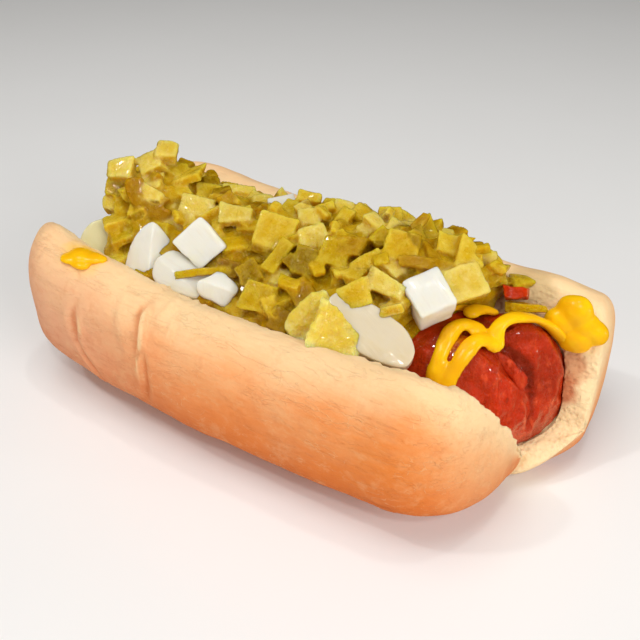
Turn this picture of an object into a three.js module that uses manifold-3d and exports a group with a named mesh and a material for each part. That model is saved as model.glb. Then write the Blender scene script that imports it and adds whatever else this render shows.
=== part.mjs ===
// A loaded hot dog: a soft bun sliced from the top and opened to a V, a frankfurter whose cut end is
// split into two lobes, a zigzag of mustard, diced onion and a heap of chopped pickle relish.
// Millimetres. X runs along the bun, Y across it towards its far half, Z up from the surface.
import * as THREE from "three";
import { ConvexGeometry } from "three/addons/geometries/ConvexGeometry.js";
import { mergeVertices } from "three/addons/utils/BufferGeometryUtils.js";
import Module from "manifold-3d";

const wasm = await Module();
wasm.setup();

// ---------------------------------------------------------------- driving dimensions
const GAP = 0.35; // clearance between touching pieces

// Each half of the bun: where its lip peaks and its flank bulges as [distance from the middle,
// height], how far its foot reaches, and where it ends. Each end rounds off over a run towards a
// centre [distance from the middle, height]; rake draws the hinge back from the right end.
const HINGE = 7.5; // height of the bottom of the cut
const NEAR = {
  side: -1, lip: [30, 43.5], flank: [40, 21], foot: 12.5, rake: 0,
  left: { x: -75.5, run: 24, power: 3.2, centre: [0, HINGE] },
  right: { x: 61, run: 23, power: 2.6, centre: [5, 10] },
};
const FAR = {
  side: 1, lip: [25, 42], flank: [40, 26], foot: 12, rake: 6.5,
  left: { x: -76, run: 24, power: 2.8, centre: [0, HINGE] },
  right: { x: 70.5, run: 8, power: 2.6, centre: [11, 10] },
};
const BUN_STATIONS = 24; // rings along each half
const BUN_AROUND = 25; // points round each ring

// The frankfurter's axis runs along X at this distance from the middle and this height. Its right
// end is cut across where the axis reaches the cut, slanting by so much along for each millimetre
// nearer, further or higher.
const FRANK = { radius: 14.8, middle: 1.8, height: 24.2, left: -66, around: 28 };
const CUT = { x: 53, nearer: 0.4, further: 0.62, higher: -0.4 };
const NOTCH = { wide: 0.34, deep: 0.38, back: 3.5, from: 32 }; // the lengthwise split

const RIBBON = { width: 3.3, thickness: 2, step: 2.1, around: 7, taper: 2.2 }; // of mustard

// The heap of relish: its left end, how far it spreads to the near and the far side, the heights of
// its near edge and its underside, and how far its core lies under the pieces.
const HEAP = { left: -61.5, near: -22.5, far: 22, edge: 37.5, floor: 31, cover: 2.6 };

// ---------------------------------------------------------------- small helpers
const mix = (a, b, t) => a + (b - a) * t;
const clamp01 = (t) => Math.min(1, Math.max(0, t));
const smooth = (t) => clamp01(t) ** 2 * (3 - 2 * clamp01(t));

// How full a rounded end is: 1 along the body, falling to 0 at the tip over the given run.
function fullness(distanceToTip, run, power) {
  const t = clamp01(1 - distanceToTip / run);
  return (1 - t ** power) ** (1 / power);
}

// A smooth curve through [x, value] pairs, held flat past both ends.
function through(pairs) {
  return (x) => {
    const i = pairs.findIndex((pair) => pair[0] > x);
    if (i === 0) return pairs[0][1];
    if (i < 0) return pairs[pairs.length - 1][1];
    const [x0, v0] = pairs[i - 1];
    const [x1, v1] = pairs[i];
    return mix(v0, v1, smooth((x - x0) / (x1 - x0)));
  };
}

// A closed skin over rings of points running along +X, each turning from +Y to +Z, with a tip
// point at each end.
function loft(rings, firstTip, lastTip) {
  const around = rings[0].length;
  const positions = [firstTip, ...rings.flat(), lastTip].flatMap((p) => [p.x, p.y, p.z]);
  const at = (ring, k) => 1 + ring * around + (k % around);
  const last = 1 + rings.length * around;
  const index = [];
  for (let k = 0; k < around; k++) {
    index.push(0, at(0, k + 1), at(0, k));
    index.push(last, at(rings.length - 1, k), at(rings.length - 1, k + 1));
    for (let r = 0; r + 1 < rings.length; r++) {
      index.push(at(r, k), at(r, k + 1), at(r + 1, k + 1));
      index.push(at(r, k), at(r + 1, k + 1), at(r + 1, k));
    }
  }
  const geometry = new THREE.BufferGeometry();
  geometry.setAttribute("position", new THREE.Float32BufferAttribute(positions, 3));
  geometry.setIndex(index);
  return geometry;
}

function middleOf(ring) {
  return ring.reduce((sum, p) => sum.add(p), new THREE.Vector3()).divideScalar(ring.length);
}

function solidOf(geometry) {
  const bare = new THREE.BufferGeometry();
  bare.setAttribute("position", geometry.getAttribute("position"));
  if (geometry.index) bare.setIndex(geometry.index);
  const merged = mergeVertices(bare, 1e-4);
  return new wasm.Manifold(
    new wasm.Mesh({
      numProp: 3,
      vertProperties: merged.getAttribute("position").array,
      triVerts: new Uint32Array(merged.index.array),
    }),
  );
}

const largest = (solid) => solid.decompose().sort((a, b) => b.volume() - a.volume())[0];

function geometryOf(solid) {
  const mesh = solid.getMesh();
  const geometry = new THREE.BufferGeometry();
  geometry.setAttribute("position", new THREE.BufferAttribute(mesh.vertProperties, mesh.numProp));
  geometry.setIndex(new THREE.BufferAttribute(mesh.triVerts, 1));
  return geometry;
}

// ---------------------------------------------------------------- bun
const nearLipRise = through([[-72, 0.6], [-58, 0.2], [-36, -1.3], [-15, -1.5], [20, -1.1], [50, -0.3]]);
const nearBulge = through([[-70, -1.1], [-45, 0.4], [-15, 1.4], [20, 0.2], [50, -1.6]]);
const farLipRise = through([[-70, 0], [-45, 0.4], [-15, 0.8], [20, 0.3], [50, -1], [68, -3.2]]);
const farBulge = through([[-70, 0], [-15, 0.4], [50, 0.7]]);
const bunBow = (x) => (x < 0 ? 4.4 : 1.9) * (Math.max(0, Math.abs(x) - 5) / 65) ** 2;

// One half's outline at mid-length, from above the hinge over the lip to the underside.
function halfOutline({ lip: [y, z], flank: [fy, fz], foot }) {
  return [
    [-6, 3.5], [0, HINGE], [9.5, 10], [y - 13, 20], [y - 9, 29], [y - 6, z - 5], [y - 3, z - 1], [y, z],
    [y + 4.5, z - 2], [mix(y + 4.5, fy, 0.5) + 1.5, z - 8], [fy, fz], [fy - 2, fz * 0.5],
    [foot + 10, 4.2], [foot, 0.2], [0, -0.8],
  ];
}

function halfRing(half, u, bulge, rise) {
  const x = mix(half.left.x, half.right.x, 0.5 + 0.5 * u);
  const end = u < 0 ? half.left : half.right;
  const k = fullness(Math.abs(end.x - x), end.run, end.power);
  const controls = halfOutline(half).map(([y, z]) => {
    const wide = y + bulge(x) * clamp01((y - 5) / (half.flank[0] - 5));
    const tall = z + rise(x) * clamp01((z - 15) / (half.lip[1] - 15));
    const rake = half.rake * k * smooth((x - 30) / 40) * (1 - smooth(y / 12));
    return new THREE.Vector3(
      x - rake,
      half.side * mix(end.centre[0], wide, k),
      mix(end.centre[1], tall, k) + bunBow(x),
    );
  });
  const points = new THREE.CatmullRomCurve3(controls, true, "centripetal").getPoints(BUN_AROUND);
  points.pop();
  return half.side < 0 ? points : points.reverse();
}

function halfSolid(half, bulge, rise) {
  const rings = [];
  for (let s = 0; s < BUN_STATIONS; s++) {
    const u = Math.sin(mix(-0.498, 0.498, s / (BUN_STATIONS - 1)) * Math.PI);
    rings.push(halfRing(half, u, bulge, rise));
  }
  return solidOf(loft(rings, middleOf(rings[0]), middleOf(rings[rings.length - 1])));
}

// ---------------------------------------------------------------- frankfurter
// The cut end slants, so each point of a ring slides along by its own amount.
function frankEnd(y, z) {
  const across = y - FRANK.middle;
  return CUT.x + (across > 0 ? CUT.further : CUT.nearer) * across + CUT.higher * (z - FRANK.height);
}

// The lengthwise split opens a notch along the top, deepest at the cut end.
const notchAt = (t) => Math.exp(-(((t - Math.PI / 2) / NOTCH.wide) ** 2));

const SPLAY = 0.07; // share by which the two lobes swell apart

function frankRing(x, scale, split, grow) {
  const ring = [];
  for (let a = 0; a < FRANK.around; a++) {
    const t = (a / FRANK.around) * 2 * Math.PI;
    const open = SPLAY * Math.max(0, Math.sin(t)) - NOTCH.deep * notchAt(t);
    const r = (FRANK.radius + grow) * scale * (1 + split * open);
    ring.push(new THREE.Vector3(x, FRANK.middle + r * Math.cos(t), FRANK.height + r * Math.sin(t)));
  }
  return ring;
}

// The rounded left end as [distance from the tip, share of the radius], the split body as [share of
// the way from the start of the notch to the rim, how open], and the cut face as [share of the
// radius, bulge beyond the rim, how open].
const FRANK_TIP = [[0.3, 0.3], [1.6, 0.62], [4.2, 0.85], [8, 0.96], [13, 1]];
const FRANK_PLAIN = [-40, -15, 8, 20, 28];
const FRANK_SPLIT = [[0.2, 0.1], [0.45, 0.35], [0.65, 0.6], [0.83, 0.85], [0.95, 1]];
const FRANK_FACE = [[0.99, 0.1, 1], [0.93, 0.7, 1], [0.8, 1.8, 0.9], [0.55, 3, 0.7], [0.28, 3.6, 0.3]];

// Leans a ring over towards the slanting rim by a share, and draws the face's notch back.
function leanOver(ring, share, out) {
  return ring.map((p, i) => {
    const depth = out > 0 ? NOTCH.back * notchAt((i / FRANK.around) * 2 * Math.PI) : 0;
    return new THREE.Vector3(mix(NOTCH.from, frankEnd(p.y, p.z), share) + out - depth, p.y, p.z);
  });
}

function frankSolid(grow) {
  const rings = FRANK_TIP.map(([dx, scale]) => frankRing(FRANK.left - grow + dx, scale, 0, grow));
  for (const x of FRANK_PLAIN) rings.push(frankRing(x, 1, 0, grow));
  for (const [share, split] of FRANK_SPLIT) {
    rings.push(leanOver(frankRing(0, 1, split, grow), share, 0));
  }
  for (const [scale, out, split] of FRANK_FACE) {
    rings.push(leanOver(frankRing(0, scale, split, grow), 1, out + grow));
  }
  const start = new THREE.Vector3(FRANK.left - grow, FRANK.middle, FRANK.height);
  return solidOf(loft(rings, start, middleOf(rings[rings.length - 1])));
}

// ---------------------------------------------------------------- mustard
// A squeezed ribbon through points [along the bun, angle round the frankfurter, distance from its
// middle]: an oval section swept along the curve, thinning away at both ends.
function ribbonSolid(points, grow) {
  const path = new THREE.CatmullRomCurve3(points.map(([x, degrees, r]) => {
    const t = THREE.MathUtils.degToRad(degrees);
    return new THREE.Vector3(x, FRANK.middle + r * Math.cos(t), FRANK.height + r * Math.sin(t));
  }));
  const steps = Math.round(path.getLength() / RIBBON.step);
  const halfWidth = 0.5 * RIBBON.width + grow;
  const halfThick = 0.5 * RIBBON.thickness + grow;
  const rings = [];
  for (let s = 0; s <= steps; s++) {
    const u = s / steps;
    const centre = path.getPointAt(u);
    const along = path.getTangentAt(u);
    const out = new THREE.Vector3(0, centre.y - FRANK.middle, centre.z - FRANK.height).normalize();
    const across = along.clone().cross(out).normalize();
    out.crossVectors(across, along).normalize();
    const fromTip = Math.min(u, 1 - u) * steps * RIBBON.step + 0.15;
    const k = fullness(fromTip, RIBBON.taper, 2) * (1 + 0.1 * Math.sin(s * 1.3));
    const ring = [];
    for (let a = 0; a < RIBBON.around; a++) {
      const t = (a / RIBBON.around) * 2 * Math.PI;
      ring.push(centre.clone()
        .addScaledVector(across, halfWidth * k * Math.cos(t))
        .addScaledVector(out, halfThick * k * Math.sin(t)));
    }
    rings.push(ring.reverse());
  }
  return solidOf(loft(rings, path.getPointAt(0), path.getPointAt(1)));
}

const MUSTARD_STROKES = [
  // the hairpin that climbs from the near side and turns back down
  [[41.5, 165, 15], [40.5, 153, 15.2], [39.5, 141, 15.3], [39, 128, 15.3], [39, 114, 15],
    [40, 101, 14.3], [41.5, 93, 13.6], [43.5, 92, 12.6]],
  // the stroke along the rim, through the notch and over the far lobe
  [[43, 165, 15], [43, 152, 15.3], [43, 140, 15.4], [43, 127, 15.4], [43, 114, 15], [43.5, 102, 13.6],
    [45, 92, 12], [47, 86, 11.6], [48, 80, 12.2], [48.5, 73, 14], [49, 64, 15.4], [50.5, 54, 16],
    [52.5, 43, 16], [55.5, 33, 15.8], [58, 26, 15.6]],
  // an earlier stroke lying across the top
  [[26, 146, 15], [28, 132, 15], [30.5, 121, 15], [33.5, 109, 15], [36, 95, 14.6], [38, 80, 14.6],
    [40, 66, 15], [41.5, 54, 15]],
];

// A dollop on the far crumb: lobes as [x, y, z] and half sizes along X, Y and Z.
const MUSTARD_BLOB = [
  [58.5, 17.5, 36.8, 5, 3.2, 5], [64, 17.8, 35, 4.2, 3, 3.6], [61.5, 15.8, 32.6, 4, 2.8, 3.6],
];

function blobSolid(lobes) {
  return lobes.map(([x, y, z, rx, ry, rz]) => {
    const ball = new THREE.SphereGeometry(1, 11, 7);
    ball.scale(rx, ry, rz);
    ball.translate(x, y, z);
    return solidOf(ball);
  }).reduce((whole, lobe) => whole.add(lobe));
}

// ---------------------------------------------------------------- chopped toppings
let seed = 1;
function random(low, high) {
  seed = (seed * 16807) % 2147483647;
  return low + (high - low) * (seed / 2147483647);
}

// Turns a piece so that its flat face looks towards the compass bearing, leaning down from the
// vertical, after a spin about its own normal. Degrees.
function facing(bearing, lean, spin) {
  const [b, l, s] = [bearing, lean, spin].map(THREE.MathUtils.degToRad);
  return new THREE.Matrix4().makeRotationZ(b)
    .multiply(new THREE.Matrix4().makeRotationY(l))
    .multiply(new THREE.Matrix4().makeRotationZ(s));
}

// A knife-cut piece: a box with uneven corners, each nipped off a little, grown by the clearance.
function chunkSolid({ at, size, turn, uneven = 0.1, nip = 0.16, key = 7 }, grow = 0) {
  seed = key;
  const points = [];
  for (const sx of [-1, 1]) {
    for (const sy of [-1, 1]) {
      for (const sz of [-1, 1]) {
        const half = size.map((side) => 0.5 * side * random(1 - uneven, 1 + uneven) + grow);
        const corner = [sx * half[0], sy * half[1], sz * half[2]];
        if (nip === 0) points.push(new THREE.Vector3(...corner));
        for (let axis = 0; axis < 3 && nip > 0; axis++) {
          const nipped = corner.map((v, i) => (i === axis ? v * (1 - nip) : v));
          nipped[(axis + 1) % 3] *= 1 - nip * 0.5;
          points.push(new THREE.Vector3(...nipped));
        }
      }
    }
  }
  const geometry = new ConvexGeometry(points);
  geometry.applyMatrix4(facing(...turn));
  geometry.translate(...at);
  return solidOf(geometry);
}

const PETAL = { stations: 6, around: 10, reach: 0.94 };

// A layer of onion: a slab curved like a shallow dish across its width.
function petalSolid({ at, size: [length, width, thick], turn, curl = 0.25 }, grow = 0) {
  const rings = [];
  for (let s = 0; s <= PETAL.stations; s++) {
    const u = mix(-PETAL.reach, PETAL.reach, s / PETAL.stations);
    const half = 0.5 * width * (1 - 0.55 * Math.abs(u) ** 3) + grow;
    const deep = 0.5 * thick * (1 - 0.4 * u ** 4) + grow;
    const ring = [];
    for (let a = 0; a < PETAL.around; a++) {
      const t = (a / PETAL.around) * 2 * Math.PI;
      const y = half * Math.sign(Math.cos(t)) * Math.abs(Math.cos(t)) ** 0.7;
      const z = deep * Math.sign(Math.sin(t)) * Math.abs(Math.sin(t)) ** 0.6;
      const sag = curl * (y ** 2 / width + 0.15 * length * u ** 2);
      ring.push(new THREE.Vector3(u * (0.5 * length + grow), y, z - sag));
    }
    rings.push(ring);
  }
  const geometry = loft(rings, middleOf(rings[0]), middleOf(rings[PETAL.stations]));
  geometry.applyMatrix4(facing(...turn));
  geometry.translate(...at);
  return solidOf(geometry);
}

const ONIONS = [
  { at: [-56.5, -18.2, 40.6], size: [10, 8.5, 6], turn: [-57, 45, 20], curl: 0.3, petal: true },
  { at: [-38.8, -18.5, 43.4], size: [15, 9.5, 4.5], turn: [-57, 62, -10], curl: 0.3, petal: true },
  { at: [-24.5, -14.5, 46.5], size: [11, 10, 6], turn: [-57, 55, 40], key: 11 },
  { at: [-26.5, -21.6, 40.4], size: [15, 8, 4], turn: [-75, 35, 70], curl: 0.2, petal: true },
  { at: [-14, -21.2, 40], size: [8, 6.5, 4.5], turn: [-40, 40, 20], key: 23 },
  { at: [26.5, -17.5, 42.3], size: [24, 11.5, 4.6], turn: [-60, 38, 44], curl: 0.15, petal: true },
  { at: [33.4, -4.5, 45.6], size: [11, 10, 7.5], turn: [-57, 30, 25], key: 31 },
  { at: [-18, 11.5, 48], size: [8, 4, 3], turn: [-57, 30, 100], key: 37 },
];
const PICKLES = [
  { at: [11.5, -19.5, 42], size: [11, 8.5, 5], turn: [-60, 45, 60], key: 41 },
  { at: [19.2, -21.5, 41.8], size: [11, 8, 5], turn: [-60, 40, 10], key: 43 },
];
const STRIP = { at: [50.5, 14.5, 38.5], size: [10, 3, 2.4], turn: [-80, 60, 100], key: 47 };
const PEPPER = { at: [47, 16.2, 40.5], size: [7, 3.6, 3], turn: [-70, 50, 95], key: 53 };

const toppingSolid = (piece, grow = 0) => (piece.petal ? petalSolid(piece, grow) : chunkSolid(piece, grow));

// ---------------------------------------------------------------- relish heap
const heapRidge = through([[-66, 46], [-62, 51], [-56, 53], [-50, 56.5], [-44, 55], [-36, 50.5], [-25, 50],
  [-12, 51], [0, 51.5], [14, 53], [26, 53.5], [34, 52], [40, 48.5], [46, 43]]);
const heapCrest = through([[-62, -2], [-50, 2], [-35, 5], [-10, 6], [10, 9], [35, 10]]);
const heapNear = through([[-66, 42], [-55, 44], [-40, 43], [-25, 41.5], [0, 40.5], [30, 41]]);
const heapFar = through([[-60, 40], [-40, 37.5], [-22, 38.5], [-8, 43], [10, 44.5], [30, 44], [42, 41]]);
const heapFall = through([[-40, 1.2], [-15, 1.3], [0, 1.8]]); // how round the heap is on its far side

// Height of the heap: it falls away from its crest towards the near and the far lip of the bun.
function heapTop(x, y) {
  const crest = heapCrest(x);
  const t = y < crest ? (crest - y) / (crest + 21) : (y - crest) / (25 - crest);
  const foot = y < crest ? heapNear(x) : heapFar(x);
  return heapRidge(x) - (heapRidge(x) - foot) * t ** (y < crest ? 1.8 : heapFall(x));
}

// The right end of the heap slants: the far side reaches further along the bun.
const heapEnd = (y) => 36 + 0.5 * y;

// The larger pieces on show, from the left end to the right: [x, y, lift of the middle above the
// heap, length, width, spin in degrees].
const HEAP_PIECES = [
  // the stack at the left end
  [-58, -6, 4, 7, 5, -80], [-59, -8, -1, 5, 6, -80], [-58, -11, -4, 4, 7, 0],
  [-55, -13, -8, 8, 7, -60], [-53, -16, -12, 6, 5, -60], [-52, -1, 1, 7, 4, -50],
  [-50, 3, 2, 6, 5, 70], [-48, 3, -2, 8, 5, 60], [-46, -10, 0, 10, 10, 90],
  // the dip beside it
  [-42, 5, -5, 10, 6, 70], [-39, 9, -5, 5, 6, -90], [-34, -4, 0, 9, 6, 80],
  [-31, 11, -2, 11, 5, 70], [-33, 12, 1, 9, 3, 70], [-22, -3, 1, 9, 6, 90],
  [-19, -20, 1, 14, 2, -80], [-15, -16, -1, 6, 4, 80], [-17, 13, -2, 7, 4, 70],
  // the middle of the bun
  [-11, 14, 2, 7, 4, 70], [-9, -4, 0, 10, 9, 80], [-8, -16, 0, 6, 6, -60],
  [-4, -10, 0, 10, 4, -30], [-3, -20, 0, 8, 7, 80], [-4, 4, 0, 6, 5, 90],
  [-1, 15, 0, 5, 5, 70], [1, -2, 0, 7, 6, -70], [3, -9, 0, 5, 8, 80],
  [5, 15, -2, 7, 6, 50], [5, -22, -1, 5, 6, 70], [6, -15, -1, 6, 5, -50],
  [9, -5, 0, 7, 7, 80], [12, -2, 0, 5, 8, 0], [12, 16, -1, 6, 6, 80],
  // the right end, beside the cut frankfurter
  [17, 3, 0, 5, 5, -50], [18, -5, 0, 8, 5, -60], [20, -14, 1, 7, 6, -60],
  [23, 2, 0, 9, 8, 80], [23, 15, -1, 4, 7, -80], [25, -9, 0, 9, 5, 70],
  [30, 0, 0, 12, 3, 80], [32, 9, 0, 7, 5, 70], [36, 8, 1, 4, 10, 60],
  [39, 2, 0, 10, 8, -80],
];
const FILL_TRIES = 500;
const FILL_SPACING = 5.5;

// Pieces lie on the slope of the heap, tipped part of the way towards its open near side.
const OPEN_SIDE = new THREE.Vector3(0.44, -0.68, 0.58).normalize();
const TIP = 0.6;

function lieOf(x, y) {
  const slopeX = 0.5 * (heapTop(x + 1, y) - heapTop(x - 1, y));
  const slopeY = 0.5 * (heapTop(x, y + 1) - heapTop(x, y - 1));
  const out = new THREE.Vector3(-slopeX, -slopeY, 1).normalize().lerp(OPEN_SIDE, TIP).normalize();
  return [Math.atan2(out.y, out.x), Math.acos(out.z)].map(THREE.MathUtils.radToDeg);
}

const heroChunk = ([x, y, lift, length, width, spin], key) => ({
  at: [x, y, heapTop(x, y) + lift], size: [length, width, Math.min(4, 1.4 + 0.4 * width)],
  turn: [...lieOf(x, y), spin], uneven: 0.14, nip: 0, key,
});

// Smaller pieces scattered over the heap wherever the taken places leave room.
function fillChunks(taken) {
  const chunks = [];
  seed = 2024;
  for (let i = 0; i < FILL_TRIES; i++) {
    const y = random(-23.5, 23);
    const x = mix(-59, heapEnd(y) - 1, random(0, 1));
    const size = [random(5, 8), random(3.6, 6), random(2, 3)];
    const turn = [random(0, 360), random(5, 42), random(0, 180)];
    const at = [x, y, heapTop(x, y) - random(0.9, 2.1)];
    if (taken.some((p) => Math.hypot(...at.map((v, axis) => v - p[axis])) < FILL_SPACING)) continue;
    taken.push(at);
    chunks.push({ at, size, turn, uneven: 0.14, nip: 0, key: 300 + i });
  }
  return chunks;
}

function heapCore() {
  const rings = [];
  for (let s = 0; s <= 16; s++) {
    const point = (y, z) => {
      const x = mix(HEAP.left, heapEnd(y), s / 16);
      return new THREE.Vector3(x, y, z ?? heapTop(x, y) - HEAP.cover);
    };
    const ring = [];
    for (let a = 0; a < 6; a++) ring.push(point(mix(HEAP.far, HEAP.near, a / 6)));
    ring.push(point(HEAP.near, HEAP.edge), point(-14, HEAP.floor), point(16, HEAP.floor));
    rings.push(ring);
  }
  return solidOf(loft(rings, middleOf(rings[0]), middleOf(rings[16])));
}

// Three points along a topping's length, which the fill keeps clear of.
function spanOf({ at, size: [length, , thick], turn }) {
  return [-0.33, 0, 0.33].map((share) => new THREE.Vector3(share * length, 0, 0.5 * thick)
    .applyMatrix4(facing(...turn)).add(new THREE.Vector3(...at)).toArray());
}

function relishSolid(others) {
  const heroes = HEAP_PIECES.map((piece, i) => heroChunk(piece, 100 + i));
  const taken = [...ONIONS, ...PICKLES].flatMap(spanOf).concat(heroes.map((piece) => piece.at));
  let heap = heapCore();
  for (const piece of [...heroes, ...fillChunks(taken)]) heap = heap.add(chunkSolid(piece));
  return largest(others.reduce((rest, other) => rest.subtract(other), heap));
}

// ---------------------------------------------------------------- assembly
const hotDog = new THREE.Group();

function addPiece(name, solid, color, roughness) {
  const material = new THREE.MeshStandardMaterial({ color, roughness, metalness: 0 });
  const mesh = new THREE.Mesh(geometryOf(solid), material);
  mesh.name = name;
  hotDog.add(mesh);
}

const nearHalf = halfSolid(NEAR, nearBulge, nearLipRise);
const farHalf = halfSolid(FAR, farBulge, farLipRise);
const frankWithMustard = (grow) => MUSTARD_STROKES.reduce(
  (whole, stroke) => whole.add(ribbonSolid(stroke, grow)), frankSolid(grow));
const ground = solidOf(new THREE.BoxGeometry(400, 400, 40).translate(0, 0, -20));
const blob = (grow) => blobSolid(MUSTARD_BLOB.map(([x, y, z, ...r]) => [x, y, z, ...r.map((v) => v + grow)]));
const clearOfBun = nearHalf.add(farHalf)
  .add(nearHalf.translate([0, GAP, GAP])).add(farHalf.translate([0, -GAP, GAP]));
const clearOfFrank = frankWithMustard(GAP);
const clearOfBlob = blob(GAP);

addPiece("bun", nearHalf.add(farHalf).subtract(ground).subtract(clearOfFrank), 0xe2a66e, 0.75);
addPiece("sausage", frankWithMustard(0), 0xaa3220, 0.35);
addPiece("mustard_blob", blob(0).subtract(clearOfBun).subtract(clearOfFrank), 0xf5b414, 0.3);

// Each topping gives way to the bun, the frankfurter and every topping laid before it.
const laid = [clearOfBun, clearOfFrank, clearOfBlob];
function lay(name, piece, color, roughness) {
  const solid = laid.reduce((rest, other) => rest.subtract(other), toppingSolid(piece));
  laid.push(toppingSolid(piece, GAP));
  addPiece(name, largest(solid), color, roughness);
}
PICKLES.forEach((piece, i) => lay(`pickle_chunk_${i + 1}`, piece, 0xd9cc5a, 0.25));
lay("pickle_strip", STRIP, 0x9a9a30, 0.3);
lay("red_pepper", PEPPER, 0xc8401c, 0.3);
ONIONS.forEach((piece, i) => lay(`onion_${i + 1}`, piece, 0xf1eee2, 0.3));
addPiece("relish", relishSolid(laid), 0xd2bc4a, 0.3);

// The origin stands under the middle of the bounding box.
const middle = new THREE.Box3().setFromObject(hotDog).getCenter(new THREE.Vector3());
for (const mesh of hotDog.children) mesh.geometry.translate(-middle.x, -middle.y, 0);

export default hotDog;
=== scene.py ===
"""A loaded hot dog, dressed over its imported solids: soft bread, a split frankfurter, mustard,
diced onion and a heap of chopped pickle relish, on a pale floor under soft light."""
import math

import bpy
import numpy as np
from mathutils import Matrix, Vector, noise
from mathutils.bvhtree import BVHTree


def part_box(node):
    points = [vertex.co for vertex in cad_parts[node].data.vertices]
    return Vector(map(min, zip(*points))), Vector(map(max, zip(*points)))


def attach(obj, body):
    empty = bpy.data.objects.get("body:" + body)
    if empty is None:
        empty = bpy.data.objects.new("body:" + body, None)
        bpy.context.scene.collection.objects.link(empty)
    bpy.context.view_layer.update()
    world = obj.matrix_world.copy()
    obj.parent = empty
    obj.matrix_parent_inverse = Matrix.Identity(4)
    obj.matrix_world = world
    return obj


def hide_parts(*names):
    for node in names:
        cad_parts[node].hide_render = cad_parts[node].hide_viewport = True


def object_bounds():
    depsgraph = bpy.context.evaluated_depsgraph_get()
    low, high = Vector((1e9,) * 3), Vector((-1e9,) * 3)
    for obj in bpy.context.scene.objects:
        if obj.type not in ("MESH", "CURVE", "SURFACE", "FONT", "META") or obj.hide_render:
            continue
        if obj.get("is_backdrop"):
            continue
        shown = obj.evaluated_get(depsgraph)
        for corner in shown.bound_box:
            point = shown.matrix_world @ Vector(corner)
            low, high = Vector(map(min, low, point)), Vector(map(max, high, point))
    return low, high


bl_info = {
    "name": "Hot Dog",
    "version": (1, 0, 0),
    "blender": (4, 5, 0),
    "location": "View3D > Sidebar > Hot Dog",
    "description": "Dresses a hot dog's packed solids with bread, sausage, toppings and a stage",
    "category": "Add Mesh",
}

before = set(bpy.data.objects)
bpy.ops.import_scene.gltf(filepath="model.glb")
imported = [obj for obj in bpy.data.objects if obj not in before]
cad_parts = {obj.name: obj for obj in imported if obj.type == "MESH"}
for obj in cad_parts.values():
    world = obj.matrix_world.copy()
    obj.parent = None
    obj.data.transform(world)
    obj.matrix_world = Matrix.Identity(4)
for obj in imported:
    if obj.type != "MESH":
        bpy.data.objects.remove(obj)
CAD_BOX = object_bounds()

# ------------------------------------------------------------------ driving dimensions, in mm
MM = 0.001
SLIVER = 0.001  # edges and faces thinner than this are dissolved
DRAWN_LEFT = -76.0  # where the bread's left tip stands in the drawing
SIDE_SHIFT = 0.1  # the frame's middle is this far to the side of the drawing's
SHIFT = np.array([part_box("bun")[0].x / MM - DRAWN_LEFT, SIDE_SHIFT, 0.0])  # drawing to frame
GAP = 0.35  # between the bread and the sausage

HINGE = 7.5  # height of the bread's inside where its halves join
BOW = {"left": 4.4, "right": 1.9, "from": 5, "run": 65}  # how far the ends bend up
NEAR = {
    "side": -1, "lip": (30, 43.5), "flank": (40, 21), "foot": 12.5, "rake": 0,
    "left": {"x": -75.5, "run": 24, "power": 3.2, "centre": (0, HINGE)},
    "right": {"x": 61, "run": 23, "power": 2.6, "centre": (5, 10)},
}
FAR = {
    "side": 1, "lip": (25, 42), "flank": (40, 26), "foot": 12, "rake": 6.5,
    "left": {"x": -76, "run": 24, "power": 2.8, "centre": (0, HINGE)},
    "right": {"x": 70.5, "run": 8, "power": 2.6, "centre": (11, 10)},
}
STATIONS = 104  # cross sections along each half
CROWDING = 0.498  # how closely they crowd towards the tips, up to 0.5
NEAR_FLANK = -26  # the near flank's skin lies beyond this
# How baked each point of a half's outline is, in the order of half_outline: 0 crumb, 1 crust.
BAKED = (0, 0, 0, 0, 0, 0.02, 0.12, 0.3, 0.48, 0.72, 0.9, 1, 1, 0.9, 0.6)

FRANK = {"radius": 14.8, "middle": 1.8, "height": 24.2, "left": -66}
CUT = {"x": 53, "nearer": 0.4, "further": 0.62, "higher": -0.4}  # where it stands and its slants
# The split along the top: its width in radians, its depth as a share of the radius, how far the
# cut face is set back in it and where it starts.
NOTCH = {"wide": 0.34, "deep": 0.38, "back": 3.5, "from": 32}
SPLAY = 0.07  # how much fuller the split end is
# Cross sections from left to right: (distance from the tip, share of the radius), then x, then
# (share of the way to the cut, how far split), then (share of the radius, how far out, how far
# split) on the cut face.
FRANK_TIP = ((0.3, 0.3), (1.6, 0.62), (4.2, 0.85), (8, 0.96), (13, 1))
FRANK_PLAIN = (-40, -15, 8, 20, 28)
FRANK_SPLIT = ((0.2, 0.1), (0.45, 0.35), (0.65, 0.6), (0.83, 0.85), (0.95, 1))
FRANK_FACE = ((0.99, 0.1, 1), (0.93, 0.7, 1), (0.8, 1.8, 0.9), (0.55, 3, 0.7), (0.28, 3.6, 0.3))

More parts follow.
